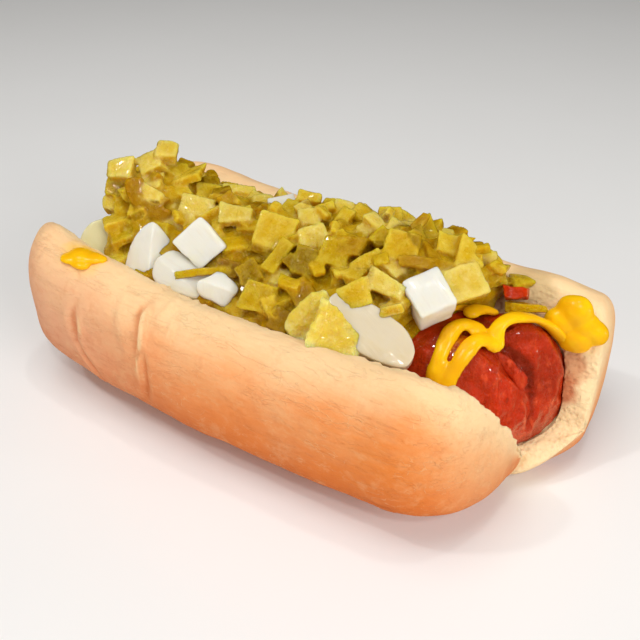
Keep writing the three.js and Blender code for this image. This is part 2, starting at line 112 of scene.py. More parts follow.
# Strokes of mustard, as (x, degrees round the sausage, distance from its middle) along each.
RIBBON = {"width": 3.9, "thickness": 1.9, "taper": 2, "step": 0.8}
MUSTARD_STROKES = (
    ((40.5, 163, 15), (39.9, 150, 15.2), (39.8, 136, 15.3), (39.6, 121, 15.3), (40, 107, 15.3),
     (41.4, 99, 15.2), (43.9, 99, 15), (46, 103, 14.8)),
    ((42.5, 168, 15), (43.2, 155, 15.3), (44.2, 140, 15.4), (45, 123, 15.4), (46, 111, 15.2),
     (48.2, 106, 14.4), (50, 108, 13)),
    ((50.4, 109, 12.4), (49, 101, 13.8), (48.6, 90, 15.6), (49.6, 82, 16.8), (51.4, 73, 17.2),
     (53.8, 63, 17.2), (56.4, 53, 16.8), (58.4, 43, 16.2), (60.5, 32, 15.6), (62.5, 22, 15.4)),
    ((27.6, 140, 15), (28.4, 125, 15.3), (29.4, 113, 15.3), (31.5, 101, 15.3), (34.5, 89, 15.3),
     (36.5, 76, 15.2), (38.5, 62, 15)),
    ((40.6, 88, 15.2), (41.2, 78, 15.8), (43, 70, 16), (46, 66, 16)),
    ((41.3, 168, 14.8), (41.4, 156, 15.2), (41.6, 146, 15.1), (42, 137, 14.9)),
)
# Forms on the cut face, as (y, height) along each, how far it stands out and its half width.
FACE_FORMS = (
    (((-1.2, 37.5), (1, 35.2), (3, 33.5), (4, 31), (4.3, 28), (4.5, 25), (4.4, 22)), -2.8, 0.9),
    (((2, 37.5), (6, 38), (9.5, 36), (11, 31), (10.5, 25), (8.5, 19)), 1.8, 2.4),
    (((-5, 38), (-10, 35), (-13, 30), (-12, 24)), 0.7, 1.6),
    (((-3, 33), (-6, 29), (-5, 24), (-1, 20)), 0.8, 2.5),
    (((4.4, 22), (3.4, 18), (1, 14.5)), -1.0, 0.8),
    (((-9, 31), (-7, 26), (-8, 21)), -0.5, 0.7),
)
FILM = ((42.0, -5.0, 37.5), 5)  # centre and radius of the thin mustard between the strokes
# The far lobe's meat is darkened there as painted shade.
FAR_LOBE = ((58, 9, 27), 9)  # centre and radius of the darker meat
FAR_LOBE_SWELL = {"height": 1.1, "from": 41, "run": 7, "turn": 68, "spread": 30}
# Thin lobes of the smear on the near lip, as (x, y, three half sizes). The bread gives the height.
MUSTARD_SMEAR = (
    (-51, -33.5, 2.6, 2.2, 0.8), (-49, -31.6, 3.4, 2.6, 1.0), (-46, -31, 3, 2.2, 0.9),
    (-47.5, -33.6, 3, 1.8, 0.8), (-43.8, -30.2, 1.8, 1.4, 0.6),
)
# Lobes of the dollop, as (x, y, height, three half sizes).
MUSTARD_BLOB = (
    (61, 17.6, 39.2, 4.4, 3.2, 4.2), (58.5, 16.2, 36.6, 3.6, 2.8, 3.4),
    (66.2, 18.2, 35, 3.2, 2.6, 3.2), (62.5, 16.6, 33, 4.2, 3, 3.6), (63.5, 17.8, 36.5, 4, 3, 3.6),
)

# The heap: how far left and to each side it goes, the height of its near edge and its floor, how
# far under the top its core lies, x and slant of both ends, how the fall to each side is spread,
# and the core's grid.
HEAP = {"left": -61.5, "near": -26, "far": 22, "edge": 34, "floor": 31, "cover": 1.2,
        "start": (-65.5, -0.65), "end": (36, 0.5), "near_foot": -21, "far_foot": 25,
        "near_fall": 1.8, "stations": 65, "across": 25, "underneath": (-14, 16)}
# The large pieces: x, y, lift above the heap, length, width, spin and tone.
HEAP_PIECES = (
    (-58, -6, 3, 7, 7, -80, "pale"), (-59, -8, -1, 5, 6, -80, "olive"),
    (-58, -11, -4, 4, 7, 0, "pale"), (-55, -13, -8, 8, 7, -60, "yellow"),
    (-53, -16, -12, 6, 5, -60, "green"), (-52, -1, 0.5, 7, 6, -50, "pale"),
    (-49.5, 3, 2.5, 6, 6, 70, "pale"), (-48, 3, -2, 8, 5, 60, "olive"),
    (-44, -9.5, 0.8, 6, 5, 70, "pale"), (-42, 5, -5, 10, 6, 70, "amber"),
    (-39, 9, -5, 5, 6, -90, "amber"), (-34, -4, 0, 9, 6, 80, "pale"),
    (-31, 11, -2, 11, 5, 70, "yellow"), (-33, 12, 1, 9, 3, 70, "pale"),
    (-22, -3, 1, 9, 6, 90, "pale"), (-19, -20, 1, 14, 2, -80, "olive"),
    (-15, -16, -1, 6, 4, 80, "dark"), (-17, 13, -2, 7, 4, 70, "pale"),
    (-11, 14, 2, 7, 4, 70, "yellow"), (-9, -4, 0, 10, 9, 80, "yellow"),
    (-8, -16, 0, 6, 6, -60, "green"), (-4, -10, 0, 10, 4, -30, "olive"),
    (-3, -20, 0, 8, 7, 80, "olive"), (-4, 4, 0, 6, 5, 90, "pale"),
    (-1, 15, 0, 5, 5, 70, "pale"), (1, -2, 0, 7, 6, -70, "pale"),
    (3, -9, 0, 5, 8, 80, "green"), (5, 15, -2, 7, 6, 50, "yellow"),
    (5, -22, -1, 5, 6, 70, "dark"), (6, -15, -1, 6, 5, -50, "amber"),
    (9, -5, 0, 7, 7, 80, "olive"), (12, -2, 0, 5, 8, 0, "amber"),
    (12, 16, -1, 6, 6, 80, "yellow"), (17, 3, 0, 5, 5, -50, "olive"),
    (18, -5, 0, 8, 5, -60, "yellow"), (20, -14, 1, 7, 6, -60, "yellow"),
    (23, 2, 0, 9, 8, 80, "golden"), (23, 15, -1, 4, 7, -80, "olive"),
    (25, -9, 0, 9, 5, 70, "pale"), (30, 0, 0, 12, 3, 80, "amber"),
    (32, 9, 0, 7, 5, 70, "yellow"), (36, 8, 1, 4, 10, 60, "yellow"),
    (39, 2, 0, 10, 8, -80, "pale"),
)
# A curved slice with a rind, open towards the crest.
RIND_RING = {
    "at": (-46, -10, 53), "size": (14, 12, 3.2), "turn": (-57, 55, 0), "curl": 0.05,
    "outline": (
        (-3.2, -5), (0.2, -4.9), (3.8, -3.1), (6.1, 0), (7.7, 4.2), (5.2, 6.9), (4, 4.3),
        (3.4, 1.8), (1.4, 0.1), (-1.3, -0.8), (-3.4, -0.4)),
}
MUSH_TONES = ("golden", "amber", "olive", "yellow", "golden", "olive", "amber", "green")
# Seeded pieces: where their seeds and keys start, how many are tried, how far apart they stay,
# and the ranges that their place across the heap, their size and their turn are drawn from.
FILL = {"seed": 2024, "key": 300, "tries": 700, "spacing": 4.9, "sunk": (0.9, 2.1),
        "across": (-23.5, 23), "inset": (2, -1), "size": ((5, 9), (4, 7), (1.6, 2.4)),
        "turn": ((0, 360), (5, 42), (0, 180))}
FILL_TONES = ("pale", "yellow", "olive", "pale", "golden", "yellow", "green", "amber")
BITS = {"seed": 4711, "key": 900, "tries": 260, "spacing": 5.2, "lift": (-0.8, 1.1),
        "across": (-22.5, 21.5), "inset": (1, 1), "size": ((3, 6.5), (2.4, 4.6), (1.5, 2.4)),
        "turn": ((200, 400), (5, 50), (0, 180)), "clear": 7.5}
END_BITS = {"tries": 120, "inset": 1.5, "margin": 2, "turn": ((150, 210), (60, 100), (0, 180))}
BIT_TONES = ("pale", "yellow", "golden", "olive", "yellow", "amber", "green")
# Paler tones for pieces along the heap's top: painted light, as the light falls from above.
CREST_TONES = ("pale", "yellow", "pale", "pale", "pale", "yellow", "pale", "pale")
CREST = {"left": -30, "right": 22, "near": 5}  # where the heap's pieces are the palest
PIECE_KEY = 100
TONE_SEED = 77
# Cuts, edge width and edge segments of the cubes behind the large pieces, the fill and the bits.
HEAP_CUBES = ((6, 0.12, 2), (4, 0.14, 1), (3, 0.16, 1))
OPEN_SIDE = Vector((0.44, -0.68, 0.58)).normalized()  # where the large pieces' faces are tipped
TIP = 0.6  # how far they are tipped there
SLICE_GRAIN = 0.35  # how fine the surface of a slice and of the mustard is modelled
HEAP_GRAIN = 0.4  # the same for the heap
HEAP_CELL = 4.6  # size of the blocks that the heap's inside breaks into
CELL_OFFSETS = Vector((7, 3, 5)), Vector((14, 6, 10))
HEAP_KEPT = 0.57  # share of the heap's faces that its shape needs

# Where a topping lies, its size, its turn as (bearing, lean, spin) and how it is cut.
ONIONS = (
    {"at": (-56.5, -18.2, 40.6), "size": (10, 8.5, 5), "turn": (-57, 45, 20), "curl": 0.15,
     "shade": -0.6, "outline": (
         (-0.6, -5), (-3.4, -1.6), (-3.2, 3.2), (0.1, 4.8), (5.5, 4), (6.4, 1), (4, -4), (2, -6))},
    {"at": (-37.9, -20.2, 43.2), "size": (15, 9.5, 4.5), "turn": (-57, 53, -10), "curl": 0.1,
     "fold": (0, 1.6, 5, 0.4), "shade": 0.15, "outline": (
         (-7.2, 0.6), (-5.4, 3.4), (-2.6, 6), (1.2, 7.4), (8, 7.2), (11, 2.4), (9.6, -3.6), (1.6, -4.6),
         (-4.6, -2.4))},
    {"at": (-24.5, -14.5, 46.5), "size": (11, 10, 6), "turn": (-57, 55, 40), "key": 11},
    {"at": (-26.5, -21.6, 40.4), "size": (15, 8, 4), "turn": (-75, 35, 70), "curl": 0.12,
     "fold": (1, -0.5, -10, 0.22), "shade": 0.2, "outline": (
         (-5, 4.6), (2, 5), (7.6, 3.8), (9.4, 1.4), (8.6, -2.6), (4.6, -3.8), (-0.4, -5), (-5, -4),
         (-6.8, -1), (-6.4, 2))},
    {"at": (-14, -21.4, 40.7), "size": (8, 8.5, 2.6), "turn": (-50, 45, 0), "curl": 0.1,
     "fold": (0, 0.5, 65, 0.3), "shade": 0.1, "outline": (
         (-1.6, -5), (-3, -2), (-4.6, 1), (-2.4, 3), (0.6, 5), (2.6, 3.6), (4.6, 1.4), (3, -1.4),
         (1.3, -4.4))},
    {"at": (25.9, -16.5, 41.5), "size": (24, 11.5, 4.6), "turn": (-60, 38, 44), "curl": 0.06,
     "fold": (0, -3, 14, 0.08), "shade": 0.7, "outline": (
         (-11.4, -2.4), (-10, 1.6), (-5, 3.4), (0.4, 4.6), (6.2, 5), (10.6, 3.2), (11.8, -0.6),
         (8.8, -3.2), (2.6, -6), (-5, -6.2))},
    {"at": (33.4, -4.5, 45.6), "size": (11, 10, 7.5), "turn": (-57, 30, 25), "key": 31},
    {"at": (-18, 11.5, 48), "size": (8, 4, 3), "turn": (-57, 30, 100), "key": 37},
)
PICKLES = (
    {"at": (11.5, -19.5, 42), "size": (11, 8.5, 5), "turn": (-60, 45, 60), "curl": 0.15,
     "fold": (-0.5, 0, 80, 0.2), "outline": (
         (-3, -6), (-3.6, -2.6), (-2.6, 1.6), (-0.4, 6), (3, 4.6), (3.8, -1.6), (3.4, -6.8),
         (0, -7.2))},
    {"at": (20.3, -23.2, 43.2), "size": (11, 8, 5.5), "turn": (-60, 40, 10), "curl": 0.05,
     "shade": 0.8,
     "fold": (-4, -2, -38, 0.38), "outline": (
         (-7.4, -1.2), (-5, 0.6), (-1.6, 3), (2, 5.2), (6.6, 4.2), (6, -0.6), (3.4, -7), (0, -5.8),
         (-3.8, -3.4))},
)
STRIP = {"at": (50.5, 14.5, 38.5), "size": (10, 3, 2.4), "turn": (-80, 60, 100), "key": 47,
         "pinch": 0.5, "bend": 0.5, "uneven": 0.2}
PEPPER = {"at": (47, 16.2, 40.5), "size": (7, 3.6, 3), "turn": (-70, 50, 95), "key": 53,
          "pinch": 0.35, "bend": -0.6, "uneven": 0.25}

# Folds in the near flank's skin, as (x, height) along each one, its depth and half width. A fold
# with a negative depth stands up as a ridge.
CREASES = (
    (((-44, 37), (-45, 34), (-46, 31), (-46.3, 27), (-46, 23)), 0.7, 1.4),
    (((-46, 24), (-44.5, 20.5), (-42.5, 17.5), (-40, 14), (-38.5, 12)), 0.8, 0.8),
    (((-44, 33), (-43.8, 30), (-44.4, 25.5), (-43.6, 22)), -0.5, 0.8),
    (((-26.4, 40), (-26, 38.5), (-25.3, 35), (-24.6, 31), (-25, 28)), 0.4, 1.9),
    (((-27, 43), (-24.6, 40), (-23.6, 37.5), (-22.9, 33), (-23.2, 28), (-24.4, 22)), -1.0, 0.85),
    (((-22, 30), (-21.7, 26), (-22, 22), (-22.4, 18), (-24.5, 13)), 0.75, 1.1),
    (((-33, 42), (-32, 39), (-31, 36), (-29.6, 32), (-28, 27)), -0.3, 1.3),
    (((-15.2, 41.5), (-15.6, 39.5), (-15.4, 38), (-16, 36), (-17, 34)), -0.7, 0.8),
    (((-19.3, 42), (-19, 41), (-19.5, 39.5), (-20.5, 38)), -0.5, 0.8),
    (((-12, 42), (-12.5, 41), (-12, 39.5)), -0.4, 0.8),
    (((-48.5, 36.5), (-47, 38), (-45, 40)), 0.3, 0.6),
    (((-61.5, 41), (-60.4, 42), (-59, 43.5)), 0.35, 0.6),
    (((-64, 44), (-62, 45), (-60, 45)), 0.3, 0.6),
    (((8, 33), (9, 31), (10, 28)), 0.2, 0.7),
    (((38, 13), (41, 12), (44, 13)), 0.8, 1.4),
)

# Where the crumb is stained: place, radius, strength and colour.
STAINS = (
    ((62, 13, 20), 6, 0.8, (0.50, 0.09, 0.02)),
    ((64, 15, 26), 5, 0.6, (0.52, 0.12, 0.03)),
    ((47, 21, 40), 9, 0.6, (0.52, 0.36, 0.16)),
    ((-4, 27, 44), 10, 0.4, (0.62, 0.42, 0.14)),
    ((-48.5, -32.5, 43), 8, 1.0, (0.95, 0.54, 0.07)),
)

# Soft lights, and small ones that alone show as glints on what is wet: place, size and power.
LIGHTS = (
    ("key", (-0.05, -0.15, 0.75), 0.45, 2.2), ("side", (0.65, -0.2, 0.35), 0.35, 2.6),
    ("front", (-0.2, -0.7, 0.25), 0.5, 1.1), ("left_glint", (-0.3, -0.3, 0.7), 0.045, 0.7),
    ("right_glint", (0.35, -0.35, 0.6), 0.045, 0.7), ("high_glint", (0.1, 0.05, 0.8), 0.035, 0.4),
    ("end_glint", (0.75, 0.15, 0.15), 0.035, 0.35),
)

WORLD = {"colour": (1, 0.98, 0.95, 1), "strength": 0.2}
FLOOR_SIDE = 6  # metres
LIGHT_AIM = Vector((0, 0, 0.02))  # metres
CAMERA = {"azimuth": 33.0, "elevation": 35.42, "distance": 209.43, "lens": 44.91,
          "target": (1.48, 0.0, 24.56)}


# ------------------------------------------------------------------ small helpers
class Draws:
    """A stream of random numbers, by Lehmer's generator, that is the same on every run."""

    MULTIPLIER, MODULUS = 16807, 2147483647

    def __init__(self, seed):
        self.seed = seed

    def __call__(self, low, high):
        self.seed = self.seed * self.MULTIPLIER % self.MODULUS
        return low + (high - low) * self.seed / self.MODULUS


def mix(a, b, t):
    return a + (b - a) * t


def mixed(first, second, share):
    """A colour between two others."""
    return tuple(mix(a, b, share) for a, b in zip(first, second))


def smooth(t):
    t = np.clip(t, 0, 1)
    return t * t * (3 - 2 * t)


def fullness(from_tip, run, power):
    """1 along the body, falling to 0 at the tip over the given run."""
    t = min(1, max(0, 1 - from_tip / run))
    return (1 - t**power) ** (1 / power)


def through(*pairs):
    """A smooth curve through (x, value) pairs, held flat past both ends."""
    xs = [x for x, _ in pairs]
    values = [value for _, value in pairs]

    def at(x):
        after = next((i for i, known in enumerate(xs) if known > x), len(xs))
        if after in (0, len(xs)):
            return values[0] if after == 0 else values[-1]
        share = smooth((x - xs[after - 1]) / (xs[after] - xs[after - 1]))
        return float(mix(values[after - 1], values[after], share))

    return at


def spline(points, per_span, closed=False):
    """Points of a centripetal Catmull-Rom curve, evenly many between each two controls."""
    points = np.asarray(points, float)
    if closed:
        before, after = points[-1], points[:2]
    else:
        before, after = 2 * points[0] - points[1], (2 * points[-1] - points[-2])[None]
    padded = np.vstack([before[None], points, after])
    made = []
    shares = np.arange(per_span)[:, None] / per_span
    for p0, p1, p2, p3 in zip(padded, padded[1:], padded[2:], padded[3:]):
        d0, d1, d2 = (
            max(np.sqrt(np.linalg.norm(a - b)), 1e-4) for a, b in ((p0, p1), (p1, p2), (p2, p3))
        )
        m1 = d1 * ((p1 - p0) / d0 - (p2 - p0) / (d0 + d1) + (p2 - p1) / d1)
        m2 = d1 * ((p2 - p1) / d1 - (p3 - p1) / (d1 + d2) + (p3 - p2) / d2)
        cubic = -3 * p1 + 3 * p2 - 2 * m1 - m2, 2 * p1 - 2 * p2 + m1 + m2
        made.append(p1 + m1 * shares + cubic[0] * shares**2 + cubic[1] * shares**3)
    made = np.vstack(made)
    return made if closed else np.vstack([made, points[-1:]])


def evenly(points, count):
    """The same path through a number of points evenly far apart."""
    lengths = np.linalg.norm(np.diff(points, axis=0), axis=1)
    reach = np.concatenate([[0], np.cumsum(lengths)])
    wanted = np.linspace(0, reach[-1], count)
    return np.stack([np.interp(wanted, reach, column) for column in points.T], 1)


def along(points, path):
    """How far each point is from a smooth path, and its share of the way along it."""
    line = evenly(spline(path, 6), 60)
    away = np.linalg.norm(points[:, None] - line[None], axis=2)
    return away.min(1), away.argmin(1) / (len(line) - 1)


def grain(points, size, seed):
    """Smooth noise from about -1 to 1 at each point, with lumps of the given size."""
    offset = Vector((13.7, 5.1, 9.3)) * seed
    return np.array([noise.noise(Vector(p) / size + offset) for p in points])


# ------------------------------------------------------------------ modelling helpers
def only(piece):
    bpy.ops.object.select_all(action="DESELECT")
    piece.select_set(True)
    bpy.context.view_layer.objects.active = piece


def named(name):
    """Names the primitive that was just added."""
    piece = bpy.context.active_object
    piece.name = piece.data.name = name
    return piece


def finish_with(piece, kind, **settings):
    """Adds a modifier and applies it."""
    only(piece)
    modifier = piece.modifiers.new(kind.title(), kind)
    for key, value in settings.items():
        setattr(modifier, key, value)
    bpy.ops.object.modifier_apply(modifier=modifier.name)


def subdivide(piece):
    finish_with(piece, "SUBSURF", levels=1, render_levels=1)


def resurface(piece, smoothing):
    """Gives a piece one closed skin of even faces, smoothed a number of times."""
    finish_with(piece, "REMESH", mode="VOXEL", voxel_size=SLICE_GRAIN * MM)
    finish_with(piece, "SMOOTH", factor=0.5, iterations=smoothing)


def edit_all(piece, *steps):
    """Runs edit-mode steps on the whole mesh."""
    only(piece)
    bpy.ops.object.mode_set(mode="EDIT")
    bpy.ops.mesh.select_mode(type="VERT")
    bpy.ops.mesh.select_all(action="SELECT")
    for step in steps:
        step()
    bpy.ops.object.mode_set(mode="OBJECT")


def points_of(piece):
    """Vertex positions in mm, in the drawing's place."""
    flat = np.empty(len(piece.data.vertices) * 3, np.float32)
    piece.data.vertices.foreach_get("co", flat)
    return flat.reshape(-1, 3).astype(float) / MM - SHIFT


def move_points(piece, points):
    piece.data.vertices.foreach_set("co", ((points + SHIFT) * MM).astype(np.float32).ravel())
    piece.data.update()


def normals_of(piece):
    flat = np.empty(len(piece.data.vertices) * 3, np.float32)
    piece.data.vertex_normals.foreach_get("vector", flat)
    return flat.reshape(-1, 3).astype(float)


def raise_by(piece, amounts):
    """Moves each vertex out along its normal by its own amount, in mm."""
    move_points(piece, points_of(piece) + normals_of(piece) * np.asarray(amounts)[:, None])


def mark(piece, name, values):
    """Stores a number or a vector per vertex for the materials and for later shaping."""
    values = np.asarray(values, np.float32)
    kind, field = ("FLOAT", "value") if values.ndim == 1 else ("FLOAT_VECTOR", "vector")
    layer = piece.data.attributes.new(name, kind, "POINT")
    layer.data.foreach_set(field, values.ravel())


def marks_of(piece, name):
    layer = piece.data.attributes[name]
    if layer.data_type == "FLOAT":
        values = np.empty(len(layer.data), np.float32)
        layer.data.foreach_get("value", values)
    else:
        values = np.empty((len(layer.data), 3), np.float32)
        layer.data.foreach_get("vector", values.ravel())
    return values.astype(float)


def rolled(name, rings, **marks):
    """A grid rolled round closed rings of points, its seam and both ends merged shut."""
    rings = [np.asarray(ring) for ring in rings]
    around = len(rings[0])
    tips = [np.repeat(ring.mean(0)[None], around, 0) for ring in (rings[0], rings[-1])]
    rings = [tips[0], *rings, tips[1]]
    bpy.ops.object.select_all(action="DESELECT")
    bpy.ops.mesh.primitive_grid_add(x_subdivisions=around, y_subdivisions=len(rings) - 1, size=MM)
    piece = named(name)
    move_points(piece, np.vstack([np.vstack([ring, ring[:1]]) for ring in rings]))
    for key, rows in marks.items():
        rows = [rows[0], *rows, rows[-1]]
        mark(piece, key, np.concatenate([np.append(row, row[0]) for row in rows]))
    edit_all(
        piece,
        lambda: bpy.ops.mesh.remove_doubles(threshold=1e-7),
        lambda: bpy.ops.mesh.normals_make_consistent(inside=False),
    )
    return piece


def without_slivers(piece):
    """Takes away the hair-thin faces that cutting and thinning leave, and ones laid on others."""
    edit_all(
        piece,
        lambda: bpy.ops.mesh.remove_doubles(threshold=SLIVER * MM),
        lambda: bpy.ops.mesh.dissolve_degenerate(threshold=SLIVER * MM),
        lambda: bpy.ops.mesh.select_all(action="DESELECT"),
        lambda: bpy.ops.mesh.select_interior_faces(),
        lambda: bpy.ops.mesh.delete(type="ONLY_FACE"),
    )


def main_part(piece, name):
    """What is left of a piece without the bits that aren't joined to it."""
    edit_all(piece, lambda: bpy.ops.mesh.separate(type="LOOSE"))
    *bits, main = sorted(bpy.context.selected_objects, key=lambda part: len(part.data.vertices))
    for bit in bits:
        bpy.data.objects.remove(bit)
    main.name = main.data.name = name
    return main


def boolean(piece, other, operation):
    """Joins or cuts one closed piece by another, which is used up."""
    finish_with(piece, "BOOLEAN", object=other, operation=operation, solver="MANIFOLD")
    bpy.data.objects.remove(other)


def dress(piece, material, slot, *replaced, angle=None):
    """Shades a finished piece, gives it its material and hands it to the frame."""
    only(piece)
    if angle is None:
        bpy.ops.object.shade_smooth()
    else:
        bpy.ops.object.shade_smooth_by_angle(angle=math.radians(angle))
    piece.data.materials.clear()
    piece.data.materials.append(material)
    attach(piece, "root")
    if replaced:
        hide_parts(*replaced)


# ------------------------------------------------------------------ shader helpers
class Wire:
    """A socket that can be worked with in expressions: each operator adds a Math node."""

    def __init__(self, shader, socket):
        self.shader = shader
        self.socket = socket

    def math(self, operation, first, second):
        node = self.shader.node("ShaderNodeMath", {"operation": operation}, {0: first, 1: second})
        return Wire(self.shader, node.outputs[0])

    def __add__(self, other):
        return self.math("ADD", self, other)

    def __radd__(self, other):
        return self.math("ADD", other, self)

    def __sub__(self, other):
        return self.math("SUBTRACT", self, other)

    def __rsub__(self, other):
        return self.math("SUBTRACT", other, self)

    def __mul__(self, other):
        return self.math("MULTIPLY", self, other)

    def __rmul__(self, other):
        return self.math("MULTIPLY", other, self)


class Shader:
    """A material with one Principled BSDF, built up by a few short calls."""

    def __init__(self, name):
        self.material = bpy.data.materials.new(name)
        self.material.use_nodes = True
        self.tree = self.material.node_tree
        self.tree.nodes.clear()
        self.surface = self.tree.nodes.new("ShaderNodeBsdfPrincipled")
        output = self.tree.nodes.new("ShaderNodeOutputMaterial")
        self.tree.links.new(self.surface.outputs[0], output.inputs["Surface"])
        self.place = Wire(self, self.tree.nodes.new("ShaderNodeTexCoord").outputs["Object"])

    def put(self, socket, value):
        if isinstance(value, Wire):
            self.tree.links.new(value.socket, socket)
        elif socket.type == "RGBA" and len(value) == 3:
            socket.default_value = (*value, 1)
        else:
            socket.default_value = value

    def node(self, kind, settings=None, inputs=None):
        node = self.tree.nodes.new(kind)
        for key, value in (settings or {}).items():
            setattr(node, key, value)
        for key, value in (inputs or {}).items():
            self.put(node.inputs[key], value)
        return node

    def set(self, **values):
        """Sets or links the surface's own sockets, named with underscores."""
        for key, value in values.items():
            self.put(self.surface.inputs[key.replace("_", " ")], value)

    def noise(self, size, detail=2, roughness=0.5, place=None):
        """Noise from 0 to 1 with lumps of the given size in mm."""
        node = self.node("ShaderNodeTexNoise", {}, {
            "Vector": place or self.place, "Scale": 1 / (size * MM), "Detail": detail,
            "Roughness": roughness,
        })
        return Wire(self, node.outputs["Fac"])

    def cells(self, size):
        """How far off the nearest of many scattered spots is, for spots this many mm apart."""
        node = self.node("ShaderNodeTexVoronoi", {}, {
            "Vector": self.place, "Scale": 1 / (size * MM),
        })
        return Wire(self, node.outputs["Distance"])

    def stretched(self, x, y, z, place=None):
        """Coordinates scaled along each axis."""
        node = self.node("ShaderNodeMapping", {}, {
            "Vector": place or self.place, "Scale": (x, y, z),
        })
        return Wire(self, node.outputs[0])

    def ramp(self, value, start, end):
        """0 up to where a value starts, rising smoothly to 1 where it ends, in either direction."""
        node = self.node("ShaderNodeMapRange", {"interpolation_type": "SMOOTHSTEP"}, {
            "Value": value, "From Min": start, "From Max": end,
        })
        return Wire(self, node.outputs[0])

    def attribute(self, name, output="Fac"):
        node = self.node("ShaderNodeAttribute", {"attribute_name": name})
        return Wire(self, node.outputs[output])

    def axis(self, name):
        node = self.node("ShaderNodeSeparateXYZ", {}, {"Vector": self.place})
        return Wire(self, node.outputs[name])

    def size_of(self, value):
        """A value without its sign."""
        return value.math("ABSOLUTE", value, 0)

    def near(self, centre, radius, ragged):
        """1 about a place given in the drawing's mm, falling to 0 at a more or less ragged radius."""
        node = self.node("ShaderNodeVectorMath", {"operation": "DISTANCE"}, {
            0: self.place, 1: (np.array(centre) + SHIFT) * MM,
        })
        waver = (self.noise(radius * 0.6, 3) - 0.5) * (ragged * radius * MM)
        distance = Wire(self, node.outputs["Value"]) + waver
        return self.ramp(distance, radius * MM, radius * 0.45 * MM)

    def hairs(self, size, thin, place):
        """Thin wandering lines, 1 along each line."""
        level = self.noise(size, 2, 0.5, place)
        line = self.ramp(self.size_of(level - 0.5), thin, 0.0)
        return line * self.ramp(self.noise(size * 2.3, 2, 0.5, place), 0.45, 0.6)

    def blend(self, factor, first, second):
        """The first colour where the factor is 0, the second where it is 1."""
        node = self.node("ShaderNodeMix", {"data_type": "RGBA"}, {0: factor, 6: first, 7: second})
        return Wire(self, node.outputs[2])

    def over(self, base, *layers):
        """A base colour under layers, each laid on as far as its factor says."""
        for factor, tone in layers:
            base = self.blend(factor, base, tone)
        return base

    def stained(self, factor, first, stain):
        """A colour multiplied by another, as far as the factor says; on the relish's sides it is
        painted shade.
        """
        settings = {"data_type": "RGBA", "blend_type": "MULTIPLY"}
        node = self.node("ShaderNodeMix", settings, {0: factor, 6: first, 7: stain})
        return Wire(self, node.outputs[2])

    def paler(self, first, power):
        """A lighter colour of the same kind, for powers below 1."""
        node = self.node("ShaderNodeGamma", {}, {"Color": first, "Gamma": power})
        return Wire(self, node.outputs[0])

    def bump(self, height, distance, normal=None):
        inputs = {"Height": height, "Distance": distance * MM}
        if normal:
            inputs["Normal"] = normal
        return Wire(self, self.node("ShaderNodeBump", {}, inputs).outputs[0])


# ------------------------------------------------------------------ settings
def colour(name, description, default):
    return bpy.props.FloatVectorProperty(
        name=name, description=description, subtype="COLOR", size=3, min=0, max=1, default=default)


def length(name, description, default):
    return bpy.props.FloatProperty(
        name=name, description=description, unit="LENGTH", min=0, default=default)


class HotDogSizes(bpy.types.PropertyGroup):
    crease_depth: length("Crease depth", "How deep a full fold in the bread's skin is", 1.1 * MM)
    crumb_relief: length("Crumb relief", "How far the torn crumb stands up and sinks", 0.5 * MM)
    meat_relief: length("Meat relief", "How uneven the cut end of the sausage is", 0.8 * MM)
    chunk_relief: length("Chunk relief", "How far the faces of a chopped piece swell", 0.35 * MM)


class HotDogColours(bpy.types.PropertyGroup):
    crumb: colour("Crumb", "Soft inside of the bread", (0.92, 0.68, 0.38))
    # Laid on the fold ridges and the right tip, this colour is also painted light there.
    lip: colour("Lip", "Pale band along the edge of the crust", (0.90, 0.61, 0.32))
    crust: colour("Crust", "Baked skin on the flank", (0.87, 0.28, 0.075))
    # Laid low on the flank and into the creases, this colour is painted shade there.
    deep_crust: colour("Deep crust", "Darkest baked skin, low on the flank", (0.66, 0.15, 0.028))
    skin: colour("Sausage skin", "Browned skin", (0.42, 0.026, 0.002))
    meat: colour("Cut meat", "Inside of the sausage", (0.6, 0.03, 0.002))
    mustard: colour("Mustard", "Yellow mustard", (1, 0.57, 0.003))
    onion: colour("Onion", "White onion", (0.76, 0.735, 0.65))
    pickle: colour("Pickle", "Bright pickled chunks", (0.78, 0.57, 0.085))
    pepper: colour("Red pepper", "Bit of red pepper", (0.55, 0.035, 0.001))
    pale: colour("Pale relish", "Palest relish pieces", (0.73, 0.535, 0.08))
    yellow: colour("Yellow relish", "Yellow relish pieces", (0.66, 0.43, 0.016))
    golden: colour("Golden relish", "Golden relish pieces", (0.59, 0.35, 0.003))
    olive: colour("Olive relish", "Olive-yellow relish pieces", (0.52, 0.325, 0.003))
    amber: colour("Amber relish", "Amber relish pieces", (0.39, 0.195, 0.001))
    dark: colour("Dark relish", "Darkest relish between the pieces", (0.22, 0.095, 0.001))
    green: colour("Green relish", "Green-olive relish pieces", (0.28, 0.155, 0.001))
    floor: colour("Floor", "Pale floor", (0.86, 0.85, 0.83))


# ------------------------------------------------------------------ bread
# Along the bread: how far each half's lip rises and its flank bulges.
near_lip_rise = through(
    (-72, 0.6), (-63, 0.6), (-55, -1.2), (-44, -1.6), (-30, -2.4), (-15, -2.7), (5, -2.6),
    (20, -2.2), (35, -1), (50, -0.3))
near_bulge = through((-70, -1.1), (-45, 0.4), (-15, 1.4), (20, 0.2), (50, -1.6))
far_lip_rise = through((-70, 0), (-45, 0.4), (-15, 0.8), (20, 0.3), (50, -1), (68, -3.2))
far_bulge = through((-70, 0), (-15, 0.4), (50, 0.7))


def bun_bow(x):
    end = BOW["left"] if x < 0 else BOW["right"]
    return end * (max(0, abs(x) - BOW["from"]) / BOW["run"]) ** 2


